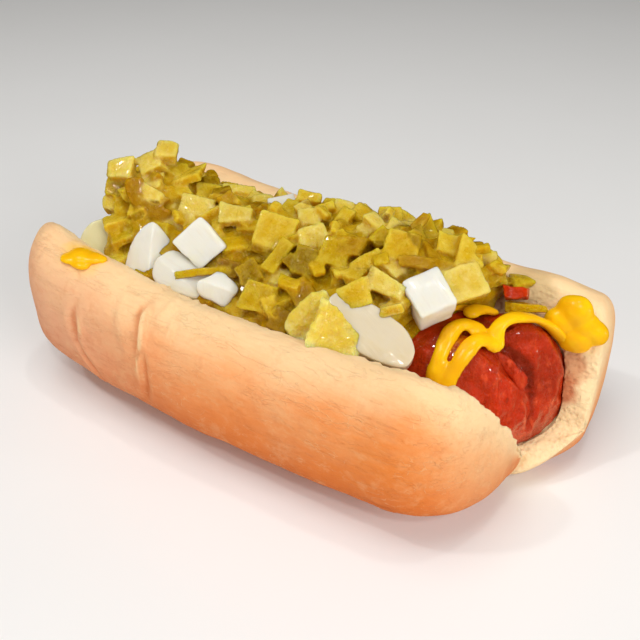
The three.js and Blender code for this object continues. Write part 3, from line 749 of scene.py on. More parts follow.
def half_outline(half):
    """One half's outline at mid-length, from above the hinge over the lip to the underside."""
    (y, z), (fy, fz), foot = half["lip"], half["flank"], half["foot"]
    return (
        (-6, 3.5), (0, HINGE), (9.5, 10), (y - 13, 20), (y - 9, 29), (y - 6, z - 5),
        (y - 3, z - 1), (y, z), (y + 4.5, z - 2), (mix(y + 4.5, fy, 0.5) + 1.5, z - 8),
        (fy, fz), (fy - 2, fz * 0.5), (foot + 10, 4.2), (foot, 0.2), (0, -0.8),
    )


def half_ring(half, u, bulge, rise, per_span):
    x = mix(half["left"]["x"], half["right"]["x"], 0.5 + 0.5 * u)
    end = half["left"] if u < 0 else half["right"]
    k = fullness(abs(end["x"] - x), end["run"], end["power"])
    controls = []
    for y, z in half_outline(half):
        wide = y + bulge(x) * min(1, max(0, (y - 5) / (half["flank"][0] - 5)))
        tall = z + rise(x) * min(1, max(0, (z - 15) / (half["lip"][1] - 15)))
        rake = half["rake"] * k * smooth((x - 30) / 40) * (1 - smooth(y / 12))
        controls.append((
            x - rake, half["side"] * mix(end["centre"][0], wide, k),
            mix(end["centre"][1], tall, k) + bun_bow(x),
        ))
    return spline(controls, per_span, closed=True)


def bun_half(name, half, bulge, rise):
    """One half of the bread, marked with how baked it is."""
    per_span = 5
    rings = []
    for s in range(STATIONS):
        u = math.sin(mix(-CROWDING, CROWDING, s / (STATIONS - 1)) * math.pi)
        rings.append(half_ring(half, u, bulge, rise, per_span))
    steps = np.arange(len(BAKED) * per_span) / per_span
    baked = np.interp(steps, np.arange(len(BAKED) + 1), [*BAKED, BAKED[0]])
    piece = rolled(name, rings, crust=[baked] * STATIONS)
    subdivide(piece)
    return piece


def fold_relief(points):
    """How far each point of the near flank sinks into or stands up beside the folds, in mm."""
    relief = np.zeros(len(points))
    flank = points[:, 1] < NEAR_FLANK
    surface = points[flank]
    for path, depth, half_width in CREASES:
        on_skin = [
            surface[np.argmin((surface[:, 0] - x) ** 2 + (surface[:, 2] - z) ** 2)] for x, z in path
        ]
        away, share = along(surface, on_skin)
        away += 0.35 * grain(surface, 3, 12)
        fade = np.sin(np.pi * np.clip(share, 0.02, 0.98)) ** 0.7
        d = away / half_width
        shape = 0.4 * np.exp(-((d - 1.8) ** 2)) - np.exp(-(d**2) * 1.4)
        relief[flank] += shape * fade * depth * (1 + 0.5 * grain(surface, 5, 13))
    return relief


def bread_material(colours):
    shader = Shader("baked_bread")
    crust, fold = shader.attribute("crust"), shader.attribute("fold")
    x, z = shader.axis("X"), shader.axis("Z")
    blotch = shader.noise(14, 3)
    fibre = shader.noise(1.5, 5, 0.65, shader.stretched(0.18, 1, 0.8))
    fine = shader.noise(0.7, 3, 0.65)
    pores = shader.cells(1.3)
    mottle = shader.noise(3.5, 4, 0.65)
    hair = shader.hairs(2.2, 0.02, shader.stretched(0.4, 1, 1))
    wrinkle = shader.hairs(1.4, 0.03, shader.stretched(0.25, 1.2, 1.3))
    pink = mixed(colours.crust, (0.82, 0.53, 0.35), 0.65)
    tan = mixed(colours.crust, (0.80, 0.22, 0.03), 0.6)
    # Darker low on the flank, towards the deep crust: painted shade, as the light falls from above.
    low = shader.ramp(z + (blotch - 0.5) * (9 * MM), 30 * MM, 8 * MM)
    deep = shader.blend(shader.ramp(x, 0.0, -65 * MM) * 0.5, colours.deep_crust, pink)
    baked_skin = shader.over(
        colours.crust,
        (shader.ramp(x, 5 * MM, -60 * MM), pink),
        (shader.ramp(x, 15 * MM, 45 * MM), tan),
        (low * 0.85, deep),
    )
    baked = crust + (blotch - 0.5) * 0.4 + (fibre - 0.5) * 0.25
    torn = shader.ramp(crust, 0.22, 0.04)
    base = shader.over(
        colours.crumb,
        (shader.ramp(baked, 0.05, 0.35), colours.lip),
        (shader.ramp(baked, 0.35, 0.95), baked_skin),
        (shader.ramp(mottle, 0.5, 0.7) * crust * 0.2, colours.lip),
        (shader.ramp(mottle, 0.5, 0.3) * crust * 0.25, colours.deep_crust),
        # Lighter on the fold ridges and darker in the creases: painted highlight and painted shade.
        (shader.ramp(fold, 0.15, 0.7) * 0.8, colours.lip),
        (shader.ramp(fold, -0.1, -0.7) * 0.5, colours.deep_crust),
        (hair * crust * 0.3, colours.lip),
        # Darker in the fine wrinkles' grooves: painted shade.
        (wrinkle * crust * 0.13, colours.deep_crust),
        (shader.ramp(fibre, 0.42, 0.30) * crust * 0.25, colours.deep_crust),
        (torn * shader.ramp(pores, 0.4, 0.1) * 0.1, mixed(colours.crumb, colours.crust, 0.45)),
    )
    left_end = shader.ramp(x, -25 * MM, -60 * MM) * shader.ramp(baked, 0.05, 0.35)
    base = shader.stained(left_end * 0.6, base, (0.96, 0.84, 0.82))
    # Lighter towards the right tip: painted light, where the light from the right falls.
    right_tip = shader.ramp(x, 52 * MM, 66 * MM) * shader.ramp(z, 2 * MM, 22 * MM)
    base = shader.blend(right_tip * shader.ramp(crust, 0.2, 0.6) * 0.45, base, colours.lip)
    for centre, radius, strength, stain in STAINS:
        spot = shader.near(centre, radius, 0.9) * strength
        base = shader.blend(spot * shader.ramp(crust, 0.6, 0.2), base, stain)
    shader.set(
        Base_Color=base, Roughness=0.6 + fine * 0.2, Subsurface_Weight=0.1,
        Subsurface_Radius=(1.0, 0.5, 0.25), Subsurface_Scale=1.5 * MM, Specular_IOR_Level=0.12,
    )
    rough = shader.noise(2.4, 4, 0.6, shader.stretched(0.7, 1, 1))
    skin = fibre * 0.6 + fine * 0.4 + rough * 1.2 - wrinkle * 0.3 + hair * 0.3
    crumb = shader.ramp(pores, 0.1, 0.6) * torn
    shader.set(Normal=shader.bump(crumb, 0.16, shader.bump(skin, 0.22)))
    return shader.material


def roughen_bread(half, is_near, sizes):
    """Torn crumb inside, a faintly uneven crust outside and the folds of the near flank."""
    points, crust = points_of(half), marks_of(half, "crust")
    torn = 1 - smooth(crust / 0.3)
    lumps = grain(points, 3.2, 1) + 0.6 * grain(points, 1.5, 2)
    swell = 0.55 * grain(points, 13, 3) + 0.1 * grain(points, 4, 4)
    ragged = 1 + 1.6 * smooth((points[:, 0] - 22) / 12) if is_near else 0.5
    relief = torn * lumps * ragged * sizes.crumb_relief / MM + (1 - torn) * swell
    fold = fold_relief(points) if is_near else 0 * crust
    raise_by(half, relief + fold * sizes.crease_depth / MM)
    mark(half, "fold", fold)


class HOTDOG_OT_bread(bpy.types.Operator):
    """Adds the two joined halves of the opened bun"""

    bl_idname = "hotdog.bread"
    bl_label = "Add Bread"

    def execute(self, context):
        sizes = context.scene.hotdog_sizes
        near = bun_half("bread", NEAR, near_bulge, near_lip_rise)
        far = bun_half("bread_far", FAR, far_bulge, far_lip_rise)
        for half in (near, far):
            roughen_bread(half, half is near, sizes)
        boolean(near, far, "UNION")
        boolean(near, frankfurter("frank_cutter", GAP), "DIFFERENCE")
        points = points_of(near)
        points[:, 2] = np.maximum(points[:, 2], 0)  # stands flat on the floor
        move_points(near, points)
        without_slivers(near)
        near = main_part(near, "bread")
        dress(near, bread_material(context.scene.hotdog_colours), "bread", "bun")
        return {"FINISHED"}


# ------------------------------------------------------------------ frankfurter
def frank_end(y, z):
    across = y - FRANK["middle"]
    slant = np.where(across > 0, CUT["further"], CUT["nearer"])
    return CUT["x"] + slant * across + CUT["higher"] * (z - FRANK["height"])


def notch_at(t):
    return np.exp(-(((t - math.pi / 2) / NOTCH["wide"]) ** 2))


def frank_ring(x, scale, split, grow, turns):
    opened = SPLAY * np.maximum(0, np.sin(turns)) - NOTCH["deep"] * notch_at(turns)
    r = (FRANK["radius"] + grow) * scale * (1 + split * opened)
    y = FRANK["middle"] + r * np.cos(turns)
    z = FRANK["height"] + r * np.sin(turns)
    return np.stack([np.full_like(y, x), y, z], 1)


def lean_over(ring, share, out, turns):
    depth = NOTCH["back"] * notch_at(turns) * (out > 0)
    leaned = ring.copy()
    leaned[:, 0] = mix(NOTCH["from"], frank_end(ring[:, 1], ring[:, 2]), share) + out - depth
    return leaned


def frankfurter(name, grow, around=96, per_span=5):
    """The split sausage, marked with how far it is cut face and not skin."""
    turns = np.arange(around) / around * 2 * math.pi
    rings = [frank_ring(FRANK["left"] - grow + dx, scale, 0, grow, turns) for dx, scale in FRANK_TIP]
    rings += [frank_ring(x, 1, 0, grow, turns) for x in FRANK_PLAIN]
    rings += [lean_over(frank_ring(0, 1, split, grow, turns), share, 0, turns)
              for share, split in FRANK_SPLIT]
    body = len(rings)
    rings += [lean_over(frank_ring(0, scale, split, grow, turns), 1, out + grow, turns)
              for scale, out, split in FRANK_FACE]
    marks = [0.0] * body + [0.5, 0.75, 0.92, 1.0, 1.0]
    columns = np.stack([spline(np.stack([ring[a] for ring in rings]), per_span)
                        for a in range(around)], 1)
    cut = np.interp(np.arange(len(columns)) / per_span, np.arange(len(marks)), marks)
    return rolled(name, list(columns), cut=[np.full(around, c) for c in cut])


def sausage_material(colours):
    shader = Shader("browned_sausage")
    end = shader.attribute("cut")
    cut = shader.ramp(end, 0.3, 0.6)
    cloud = shader.noise(7, 3)
    fibre = shader.noise(1.5, 5, 0.65, shader.stretched(1, 0.9, 0.35))
    spots = shader.noise(1.2, 3, 0.65)
    speckle = shader.noise(0.9, 2, 0.5)
    burnt = mixed(colours.skin, (0.03, 0.004, 0.002), 0.5)
    film = shader.near(*FILM, 0.9) * shader.ramp(spots, 0.35, 0.6)
    skin = shader.over(
        burnt,
        (shader.ramp(cloud, 0.3, 0.5), colours.skin),
        (shader.ramp(spots, 0.5, 0.7) * 0.6, mixed(colours.skin, colours.meat, 0.8)),
        (film * 0.75, mixed(colours.skin, colours.mustard, 0.3)),
    )
    bright = tuple(min(1, c * f) for c, f in zip(colours.meat, (1.4, 3.2, 12)))
    rim = shader.ramp(end + (cloud - 0.5) * 0.35, 0.97, 0.83)
    meat = shader.over(
        mixed(colours.meat, colours.skin, 0.75),
        (shader.ramp(cloud, 0.3, 0.62), colours.meat),
        (shader.ramp(fibre, 0.5, 0.68) * 0.8, bright),
        (shader.ramp(fibre, 0.42, 0.28) * 0.7, burnt),
        # The far lobe darker: painted shade.
        (shader.near(*FAR_LOBE, 0.6) * 0.4, burnt),
        (rim * 0.9, colours.skin),
        # Darker in the split and the pressed grooves of the cut face: painted shade.
        (shader.ramp(shader.attribute("pit"), 0.1, 0.7) * 0.85, burnt),
    )
    shader.set(
        Base_Color=shader.blend(cut, skin, meat), Roughness=0.1 + cut * 0.14 + spots * 0.08,
        Subsurface_Weight=0.04, Subsurface_Radius=(1.0, 0.15, 0.05), Subsurface_Scale=1 * MM,
        Specular_IOR_Level=0.5, Coat_Weight=0.7, Coat_Roughness=0.04,
        Normal=shader.bump(speckle, 0.2, shader.bump(fibre * (0.3 + cut) + spots, 0.45)),
    )
    return shader.material


def ribbon(name, points):
    """A squeezed stroke that follows the sausage, thinning away at both ends."""
    path = []
    for x, degrees, r in points:
        t = math.radians(degrees)
        path.append((x, FRANK["middle"] + r * math.cos(t), FRANK["height"] + r * math.sin(t)))
    dense = spline(path, 12)
    reach = np.linalg.norm(np.diff(dense, axis=0), axis=1).sum()
    steps = round(reach / RIBBON["step"])
    centres = evenly(dense, steps + 1)
    heading = np.gradient(centres, axis=0)
    turns = np.arange(16) / 16 * 2 * math.pi
    rings = []
    for s, (centre, ahead) in enumerate(zip(centres, heading)):
        out = np.array([0, centre[1] - FRANK["middle"], centre[2] - FRANK["height"]])
        across = np.cross(ahead, out)
        across /= np.linalg.norm(across)
        out = np.cross(across, ahead)
        out /= np.linalg.norm(out)
        from_tip = min(s, steps - s) * reach / steps + 0.15
        k = fullness(from_tip, RIBBON["taper"], 2) * (1 + 0.1 * math.sin(s * 0.5))
        rings.append(centre + k * (
            0.5 * RIBBON["width"] * np.cos(turns)[:, None] * across
            + 0.5 * RIBBON["thickness"] * np.sin(turns)[:, None] * out))
    return rolled(name, rings)


def mustard_material(colours):
    shader = Shader("wet_mustard")
    cloud = shader.noise(5, 3)
    fine = shader.noise(0.8, 3, 0.6)
    deep = mixed(colours.mustard, (0.88, 0.38, 0.002), 0.6)
    shader.set(
        Base_Color=shader.blend(shader.ramp(cloud, 0.35, 0.7), deep, colours.mustard),
        Roughness=0.2 + fine * 0.1, Specular_IOR_Level=0.5,
        Subsurface_Weight=0.25, Subsurface_Radius=(1.0, 0.6, 0.05), Subsurface_Scale=1.2 * MM,
        Normal=shader.bump(fine * 0.3 + cloud * 0.7, 0.12),
    )
    return shader.material


def roughen(frank, meat_relief):
    """Fibres on the cut face, a faintly uneven skin and the fuller far lobe."""
    points, cut = points_of(frank), marks_of(frank, "cut")
    fibres = grain(points * (1, 0.9, 0.4), 2.6, 5) + 0.25 * grain(points, 1.8, 6)
    skin = 0.12 * grain(points * (0.3, 1, 1), 2.5, 7) + 0.2 * grain(points, 9, 8)
    skin += 0.12 * grain(points, 1.4, 9)
    raise_by(frank, smooth(cut) * fibres * meat_relief / MM + (1 - cut) * skin)
    points = points_of(frank)
    turns = np.degrees(np.arctan2(points[:, 2] - FRANK["height"], points[:, 1] - FRANK["middle"]))
    lobe = FAR_LOBE_SWELL
    swell = lobe["height"] * smooth((points[:, 0] - lobe["from"]) / lobe["run"])
    raise_by(frank, swell * np.exp(-(((turns - lobe["turn"]) / lobe["spread"]) ** 2)))


def press_face(frank):
    """Presses the split and the smaller forms into the cut face, and marks how deep they are for the
    painted shade in them.
    """
    points, cut = points_of(frank), marks_of(frank, "cut")
    pit = np.zeros(len(points))
    for path, height, half_width in FACE_FORMS:
        away, share = along(points[:, 1:], path)
        form = np.exp(-((away / half_width) ** 2)) * (0.2 + 0.8 * smooth((1 - share) / 0.3))
        form *= smooth((cut - 0.45) / 0.3)
        points[:, 0] += height * form
        pit += form * (height < 0) * abs(height) / 2
    move_points(frank, points)
    mark(frank, "pit", np.clip(pit, 0, 1))


def mustard_strokes():
    """All the strokes, run together where they cross."""
    mustard, *others = [ribbon(f"stroke_{i}", path) for i, path in enumerate(MUSTARD_STROKES)]
    for stroke in others:
        boolean(mustard, stroke, "UNION")
    mustard.name = mustard.data.name = "mustard_strokes"
    resurface(mustard, 6)
    raise_by(mustard, 0.12 * grain(points_of(mustard), 2.5, 10) + 0.1)
    return mustard


class HOTDOG_OT_sausage(bpy.types.Operator):
    """Adds the frankfurter and the mustard strokes that lie on it"""

    bl_idname = "hotdog.sausage"
    bl_label = "Add Sausage"

    def execute(self, context):
        sizes, colours = context.scene.hotdog_sizes, context.scene.hotdog_colours
        frank = frankfurter("frankfurter", 0)
        subdivide(frank)
        roughen(frank, sizes.meat_relief)
        press_face(frank)
        dress(frank, sausage_material(colours), "frankfurter", "sausage")
        dress(mustard_strokes(), mustard_material(colours), "mustard", "sausage")
        return {"FINISHED"}


def blob(name, lobes, swell):
    """Soft lobes run together into one smooth mass."""
    made = []
    for x, y, z, rx, ry, rz in lobes:
        bpy.ops.object.select_all(action="DESELECT")
        bpy.ops.mesh.primitive_ico_sphere_add(subdivisions=4, radius=1)
        lobe = named(name)
        move_points(lobe, (points_of(lobe) + SHIFT) * MM * (rx, ry, rz) + (x, y, z))
        made.append(lobe)
    whole = made[0]
    for lobe in made[1:]:
        boolean(whole, lobe, "UNION")
    resurface(whole, 10)
    raise_by(whole, swell * grain(points_of(whole), 3.5, 11) + 0.25)
    whole.name = whole.data.name = name
    return whole


def top_of(piece, x, y):
    """Height of a piece's top under a place in the drawing, in mm."""
    above = Vector((np.array((x, y, 100)) + SHIFT) * MM)
    hit, place, _, _ = piece.ray_cast(above, Vector((0, 0, -1)))
    if not hit:
        raise RuntimeError(f"{piece.name} has nothing under {x}, {y}")
    return place.z / MM


class HOTDOG_OT_dollop(bpy.types.Operator):
    """Adds the dollop of mustard on the far crumb and the smear on the near lip"""

    bl_idname = "hotdog.dollop"
    bl_label = "Add Mustard Dollop"

    def execute(self, context):
        material = bpy.data.materials["wet_mustard"]
        dress(blob("mustard_dollop", MUSTARD_BLOB, 0.3), material, "mustard", "mustard_blob")
        bread = bpy.data.objects["bread"]
        lobes = [(x, y, top_of(bread, x, y), *radii) for x, y, *radii in MUSTARD_SMEAR]
        dress(blob("mustard_smear", lobes, 0.15), material, "mustard")
        return {"FINISHED"}


# ------------------------------------------------------------------ chopped toppings
def facing(bearing, lean, spin):
    """Turns a piece's flat face towards the bearing, leaning down, after a spin. Degrees."""
    b, l, s = (math.radians(angle) for angle in (bearing, lean, spin))
    turn = Matrix.Rotation(b, 3, "Z") @ Matrix.Rotation(l, 3, "Y") @ Matrix.Rotation(s, 3, "Z")
    return np.array(turn)


def block_corners(size, uneven, key):
    """The eight corners of a knife-cut piece, keyed by the sign of each axis."""
    draw = Draws(key)
    corners = {}
    for sx in (-1, 1):
        for sy in (-1, 1):
            for sz in (-1, 1):
                half = [0.5 * side * draw(1 - uneven, 1 + uneven) for side in size]
                corners[sx, sy, sz] = np.array([sx * half[0], sy * half[1], sz * half[2]])
    return corners


def rounded_cube(cuts, edge, segments):
    """Unit positions and faces of a cube with rounded edges, cut into a grid on each face."""
    bpy.ops.object.select_all(action="DESELECT")
    bpy.ops.mesh.primitive_cube_add(size=2)
    cube = named("rounded_cube")
    finish_with(cube, "BEVEL", width=edge, segments=segments, limit_method="NONE")
    edit_all(cube, lambda: bpy.ops.mesh.subdivide(number_cuts=cuts))
    units = np.array([vertex.co for vertex in cube.data.vertices])
    faces = [tuple(face.vertices) for face in cube.data.polygons]
    bpy.data.objects.remove(cube)
    return units, faces


def chopped(units, piece, relief):
    """Points and marks of a rounded block fitted to a piece's corners, bent, swollen and laid."""
    long = piece["size"][0]
    size = [side * piece.get("trim", 1) for side in piece["size"]]
    corners = block_corners(size, piece.get("uneven", 0.14), piece["key"])
    shaped = units.copy()
    shaped[:, 1] *= 1 - piece.get("pinch", 0) * (1 + units[:, 0]) / 2
    points = np.zeros_like(units)
    for (sx, sy, sz), corner in corners.items():
        weight = (1 + sx * shaped[:, 0]) * (1 + sy * shaped[:, 1]) * (1 + sz * shaped[:, 2]) / 8
        points += weight[:, None] * corner
    points[:, 2] -= piece.get("bend", 0) * points[:, 0] ** 2 / long
    key = piece["key"]
    points *= 1 + relief / 5 * grain(points, 0.45 * long, key)[:, None]
    wave = np.stack([grain(points, 2.6, key + i) for i in range(3)], 1)
    points += relief * 0.6 * wave
    # Marks for painted light: nearness to an edge for the pale edges' painted highlight, and how far a
    # point is on a side, not the top, for painted shade.
    edge = np.sort(np.abs(units), 1)[:, 1]
    beside = np.abs(units[:, :2]).max(1) - np.abs(units[:, 2])
    marks = {"edge": smooth((edge - 0.76) / 0.2), "side": smooth(0.5 + 4 * beside)}
    return points @ facing(*piece["turn"]).T + piece["at"], marks


def mesh_of(name, groups):
    """One mesh from many placed pieces: (points, faces, marks) each."""
    points, faces, marks = [], [], {}
    count = 0
    for placed, piece_faces, piece_marks in groups:
        points.append((placed + SHIFT) * MM)
        faces += [tuple(count + i for i in face) for face in piece_faces]
        for key, value in piece_marks.items():
            whole = value if np.ndim(value) else np.full(len(placed), value)
            marks.setdefault(key, []).append(whole)
        count += len(placed)
    mesh = bpy.data.meshes.new(name)
    mesh.from_pydata(np.vstack(points), [], faces)
    piece = bpy.data.objects.new(name, mesh)
    bpy.context.scene.collection.objects.link(piece)
    for key, values in marks.items():
        mark(piece, key, np.concatenate(values))
    return piece


def slice_of(name, piece):
    """A thick slice with a drawn outline and cut sides, folded and curled, laid in its place."""
    outline = spline(piece["outline"], 3, closed=True)
    thick = piece["size"][2]
    bpy.ops.object.select_all(action="DESELECT")
    bpy.ops.mesh.primitive_circle_add(vertices=len(outline), radius=MM, fill_type="NGON")
    made = named(name)
    flat = np.column_stack([outline, np.full(len(outline), 0.5 * thick)])
    move_points(made, flat - SHIFT)
    edit_all(
        made,
        lambda: bpy.ops.mesh.extrude_region_move(
            TRANSFORM_OT_translate={"value": (0, 0, -thick * MM)}),
        lambda: bpy.ops.mesh.select_all(action="SELECT"),
        lambda: bpy.ops.mesh.normals_make_consistent(inside=False),
    )
    resurface(made, 4)
    points = points_of(made) + SHIFT
    u, v, turn, slope = piece.get("fold", (0, 0, 0, 0))
    turn = math.radians(turn)
    away = (points[:, 1] - v) * math.cos(turn) - (points[:, 0] - u) * math.sin(turn)
    sag = slope * np.abs(away) + piece["curl"] * (points[:, :2] ** 2).sum(1) / piece["size"][0]
    points[:, 2] -= sag
    mark(made, "local", points * MM)
    # How far out towards the outline a point is, for the pale rim of painted highlight on the pickle
    # slices.
    from_middle = np.linalg.norm(points[:, :2], axis=1) / piece["size"][0]
    mark(made, "edge", smooth((from_middle - 0.42) / 0.15))
    move_points(made, points @ facing(*piece["turn"]).T + piece["at"])
    return made


def onion_material(colours):
    shader = Shader("raw_onion")
    local = shader.attribute("local", "Vector")
    veins = shader.noise(1.0, 3, 0.6, shader.stretched(0.12, 1, 0.5, local))
    layers = shader.noise(2.6, 1, 0.5, shader.stretched(0.1, 0.15, 1, local))
    cloud = shader.noise(6, 3, 0.5, local)
    shade = shader.attribute("shade")
    green = mixed(colours.onion, (0.74, 0.70, 0.36), 0.45)
    grey = mixed(colours.onion, (0.62, 0.50, 0.40), 0.6)
    tan = mixed(colours.onion, (0.60, 0.44, 0.20), 0.75)
    base = shader.over(
        colours.onion,
        (shader.ramp(cloud, 0.48, 0.75) * 0.6, green),
        (shader.ramp(veins, 0.55, 0.75) * 0.3, grey),
        (shader.ramp(layers, 0.5, 0.7) * 0.35, grey),
        (shader.ramp(shade, 0, 1) * 0.85, tan),
        (shader.ramp(shade, 0, -1), (0.66, 0.58, 0.22)),
    )
    shader.set(
        Base_Color=base, Roughness=0.16 + veins * 0.1,
        Subsurface_Weight=0.8, Subsurface_Radius=(1.0, 0.85, 0.6), Subsurface_Scale=3 * MM,
        Specular_IOR_Level=0.35, Coat_Weight=0.4, Coat_Roughness=0.05,
        Normal=shader.bump(veins * 0.5 + layers * 0.8, 0.2),
    )
    return shader.material


class HOTDOG_OT_onion(bpy.types.Operator):
    """Adds the pieces of onion"""

    bl_idname = "hotdog.onion"
    bl_label = "Add Onion"

    def execute(self, context):
        sizes = context.scene.hotdog_sizes
        material = onion_material(context.scene.hotdog_colours)
        units, faces = rounded_cube(7, 0.16, 3)
        for i, onion in enumerate(ONIONS, 1):
            name = f"onion_{i}"
            if "outline" in onion:
                piece = slice_of(f"{name}_piece", onion)
                points = points_of(piece)
                raise_by(piece, 0.22 * grain(points, 5, i) + 0.06 * grain(points, 1.6, i + 3))
            else:
                cube = {"uneven": 0.1, "trim": 0.92, **onion}
                points, marks = chopped(units, cube, sizes.chunk_relief / MM)
                marks["local"] = (points - onion["at"]) @ facing(*onion["turn"]) * MM
                piece = mesh_of(f"{name}_piece", [(points, faces, marks)])
            mark(piece, "shade", np.full(len(piece.data.vertices), onion.get("shade", 0.0)))
            dress(piece, material, "onion", name, angle=40)
        return {"FINISHED"}


def wet_flesh(shader, colour, deep, rind, paleness=0.8):
    """Wet, see-through pickle flesh with pale edges as painted highlight, sides darkened as painted
    shade, and an olive rind on one side.
    """
    cloud = shader.noise(4.5, 3, 0.55)
    seeds = shader.noise(1.1, 3, 0.6)
    flecks = shader.ramp(shader.noise(0.9, 2, 0.5), 0.5, 0.75)
    veil = shader.ramp(shader.noise(2.2, 3, 0.6), 0.45, 0.7)
    shade, edge = shader.attribute("shade"), shader.attribute("edge")
    pale = shader.paler(colour, 0.55)
    base = shader.over(
        colour,
        (shader.ramp(cloud * 0.8 + shade * 0.5, 0.4, 1.0) * 0.4, deep),
        # Pale edges: painted highlight.
        (edge * shader.ramp(cloud, 0.2, 0.5) * paleness, pale),
    )
    # Sides darker and deeper in colour than the tops: painted shade, as the light falls from above.
    base = shader.over(
        shader.stained(shader.attribute("side") * 0.7, base, (0.84, 0.68, 0.1)),
        (shader.ramp(shader.attribute("rind"), 0.6, 0.95) * 0.8, rind),
        (veil * 0.5 * paleness, pale),
        (shader.ramp(seeds, 0.6, 0.75) * 0.4 * paleness, pale),
    )
    shader.set(
        Base_Color=base, Roughness=0.12 + seeds * 0.12, Specular_IOR_Level=0.35,
        Coat_Weight=0.45, Coat_Roughness=0.06,
        Subsurface_Weight=1.0, Subsurface_Radius=(1.0, 0.8, 0.15), Subsurface_Scale=4.5 * MM,
        Normal=shader.bump(flecks * 0.5, 0.4, shader.bump(cloud * 0.6 + seeds * 0.9, 0.6)),
    )
    return shader.material


class HOTDOG_OT_pickles(bpy.types.Operator):
    """Adds the bright pickle chunks, the long strip and the bit of red pepper"""

    bl_idname = "hotdog.pickles"
    bl_label = "Add Pickle and Pepper"

    def execute(self, context):
        sizes, colours = context.scene.hotdog_sizes, context.scene.hotdog_colours
        bright = wet_flesh(Shader("bright_pickle"), colours.pickle, colours.yellow, colours.olive)
        skin = wet_flesh(Shader("pickle_skin"), colours.golden, colours.amber, colours.green, 0.2)
        red = wet_flesh(Shader("red_pepper_flesh"), colours.pepper, colours.skin, colours.skin, 0.0)
        units, faces = rounded_cube(7, 0.14, 3)
        kinds = (
            ("pickle_chunk_1", PICKLES[0], bright, "pickle"),
            ("pickle_chunk_2", PICKLES[1], bright, "pickle"),
            ("pickle_strip", STRIP, skin, "pickle_skin"),
            ("red_pepper", PEPPER, red, "red_pepper"),
        )
        for node, piece, material, slot in kinds:
            if "outline" in piece:
                made = slice_of(f"{node}_piece", piece)
                points = points_of(made)
                raise_by(made, 0.45 * grain(points, 3.4, 31) + 0.4 * grain(points, 1.3, 32))
                mark(made, "side", np.zeros(len(points)))
            else:
                points, marks = chopped(units, {"trim": 0.94, **piece}, sizes.chunk_relief / MM * 2)
                made = mesh_of(f"{node}_piece", [(points, faces, marks)])
            mark(made, "shade", np.full(len(made.data.vertices), piece.get("shade", 0.3)))
            mark(made, "rind", np.zeros(len(made.data.vertices)))
            dress(made, material, slot, node)
        return {"FINISHED"}


# ------------------------------------------------------------------ relish
# Along the heap: how high its ridge is, where its crest lies, how high the foot of each side is,
# and how the far side falls.
heap_ridge = through(
    (-66, 46), (-62, 51), (-56, 53), (-50, 56.5), (-44, 55), (-36, 50.5), (-25, 50), (-12, 51),
    (0, 51.5), (14, 53), (26, 53.5), (34, 52), (40, 48.5), (46, 43))
heap_crest = through((-62, -2), (-50, 2), (-35, 5), (-10, 6), (10, 9), (35, 10))
heap_near = through((-66, 42), (-55, 44), (-40, 43), (-25, 41.5), (0, 40.5), (30, 41))
heap_far = through((-60, 40), (-40, 37.5), (-22, 38.5), (-8, 43), (10, 44.5), (30, 44), (42, 41))
heap_fall = through((-40, 1.2), (-15, 1.3), (0, 1.8))


def heap_top(x, y):
    """Height of the heap, which falls from its crest towards both lips of the bread."""
    crest = heap_crest(x)
    near = y < crest
    t = (y - crest) / (HEAP["near_foot" if near else "far_foot"] - crest)
    foot = heap_near(x) if near else heap_far(x)
    fall = HEAP["near_fall"] if near else heap_fall(x)
    return heap_ridge(x) - (heap_ridge(x) - foot) * t**fall


def heap_start(y):
    x, slant = HEAP["start"]
    return max(HEAP["left"], x + slant * y)


def heap_end(y):
    x, slant = HEAP["end"]
    return x + slant * y


def lie_of(x, y):
    """Bearing and lean of a piece on the heap's slope, tipped towards the open near side."""
    slope_x = 0.5 * (heap_top(x + 1, y) - heap_top(x - 1, y))
    slope_y = 0.5 * (heap_top(x, y + 1) - heap_top(x, y - 1))
    out = Vector((-slope_x, -slope_y, 1)).normalized().lerp(OPEN_SIDE, TIP).normalized()
    return math.degrees(math.atan2(out.y, out.x)), math.degrees(math.acos(out.z))


def large_chunks():
    chunks = []
    for i, (x, y, lift, long, wide, spin, tone) in enumerate(HEAP_PIECES, PIECE_KEY):
        chunks.append({
            "at": (x, y, heap_top(x, y) + lift), "size": (long, wide, min(4, 1.2 + 0.33 * wide)),
            "turn": (*lie_of(x, y), spin), "key": i, "tone": tone, "lift": lift,
        })
    return chunks


def topping_span(piece):
    """Places spread over a topping, for the heap's own pieces to keep clear of."""
    (long, wide, thick), turn = piece["size"], facing(*piece["turn"])
    return [turn @ (u * long, v * wide, 0.5 * thick) + piece["at"]
            for u in (-0.33, 0, 0.33) for v in (-0.4, 0.1)]


def tone_at(x, y, tones, share):
    """The tone of a seeded piece, from paler ones along the crest, painted light on the heap's top."""
    if CREST["left"] < x < CREST["right"] and y > CREST["near"]:
        tones = CREST_TONES
    return tones[int(share * len(tones))]


def drawn_all(draw, spans):
    return [draw(*span) for span in spans]


def strewn(draw, kind):
    """A seeded piece's place on the heap's plan, its size and its turn."""
    y = draw(*kind["across"])
    first, last = kind["inset"]
    x = mix(heap_start(y) + first, heap_end(y) + last, draw(0, 1))
    return x, y, drawn_all(draw, kind["size"]), drawn_all(draw, kind["turn"])


def fill_chunks(taken):
    """Smaller pieces over the heap wherever the taken places leave room."""
    chunks = []
    draw = Draws(FILL["seed"])
    for i in range(FILL["tries"]):
        x, y, size, turn = strewn(draw, FILL)
        at = np.array([x, y, heap_top(x, y) - draw(*FILL["sunk"])])
        if min(np.linalg.norm(at - place) for place in taken) < FILL["spacing"]:
            continue
        taken.append(at)
        chunks.append({"at": at, "size": size, "turn": turn, "key": FILL["key"] + i})
    return chunks


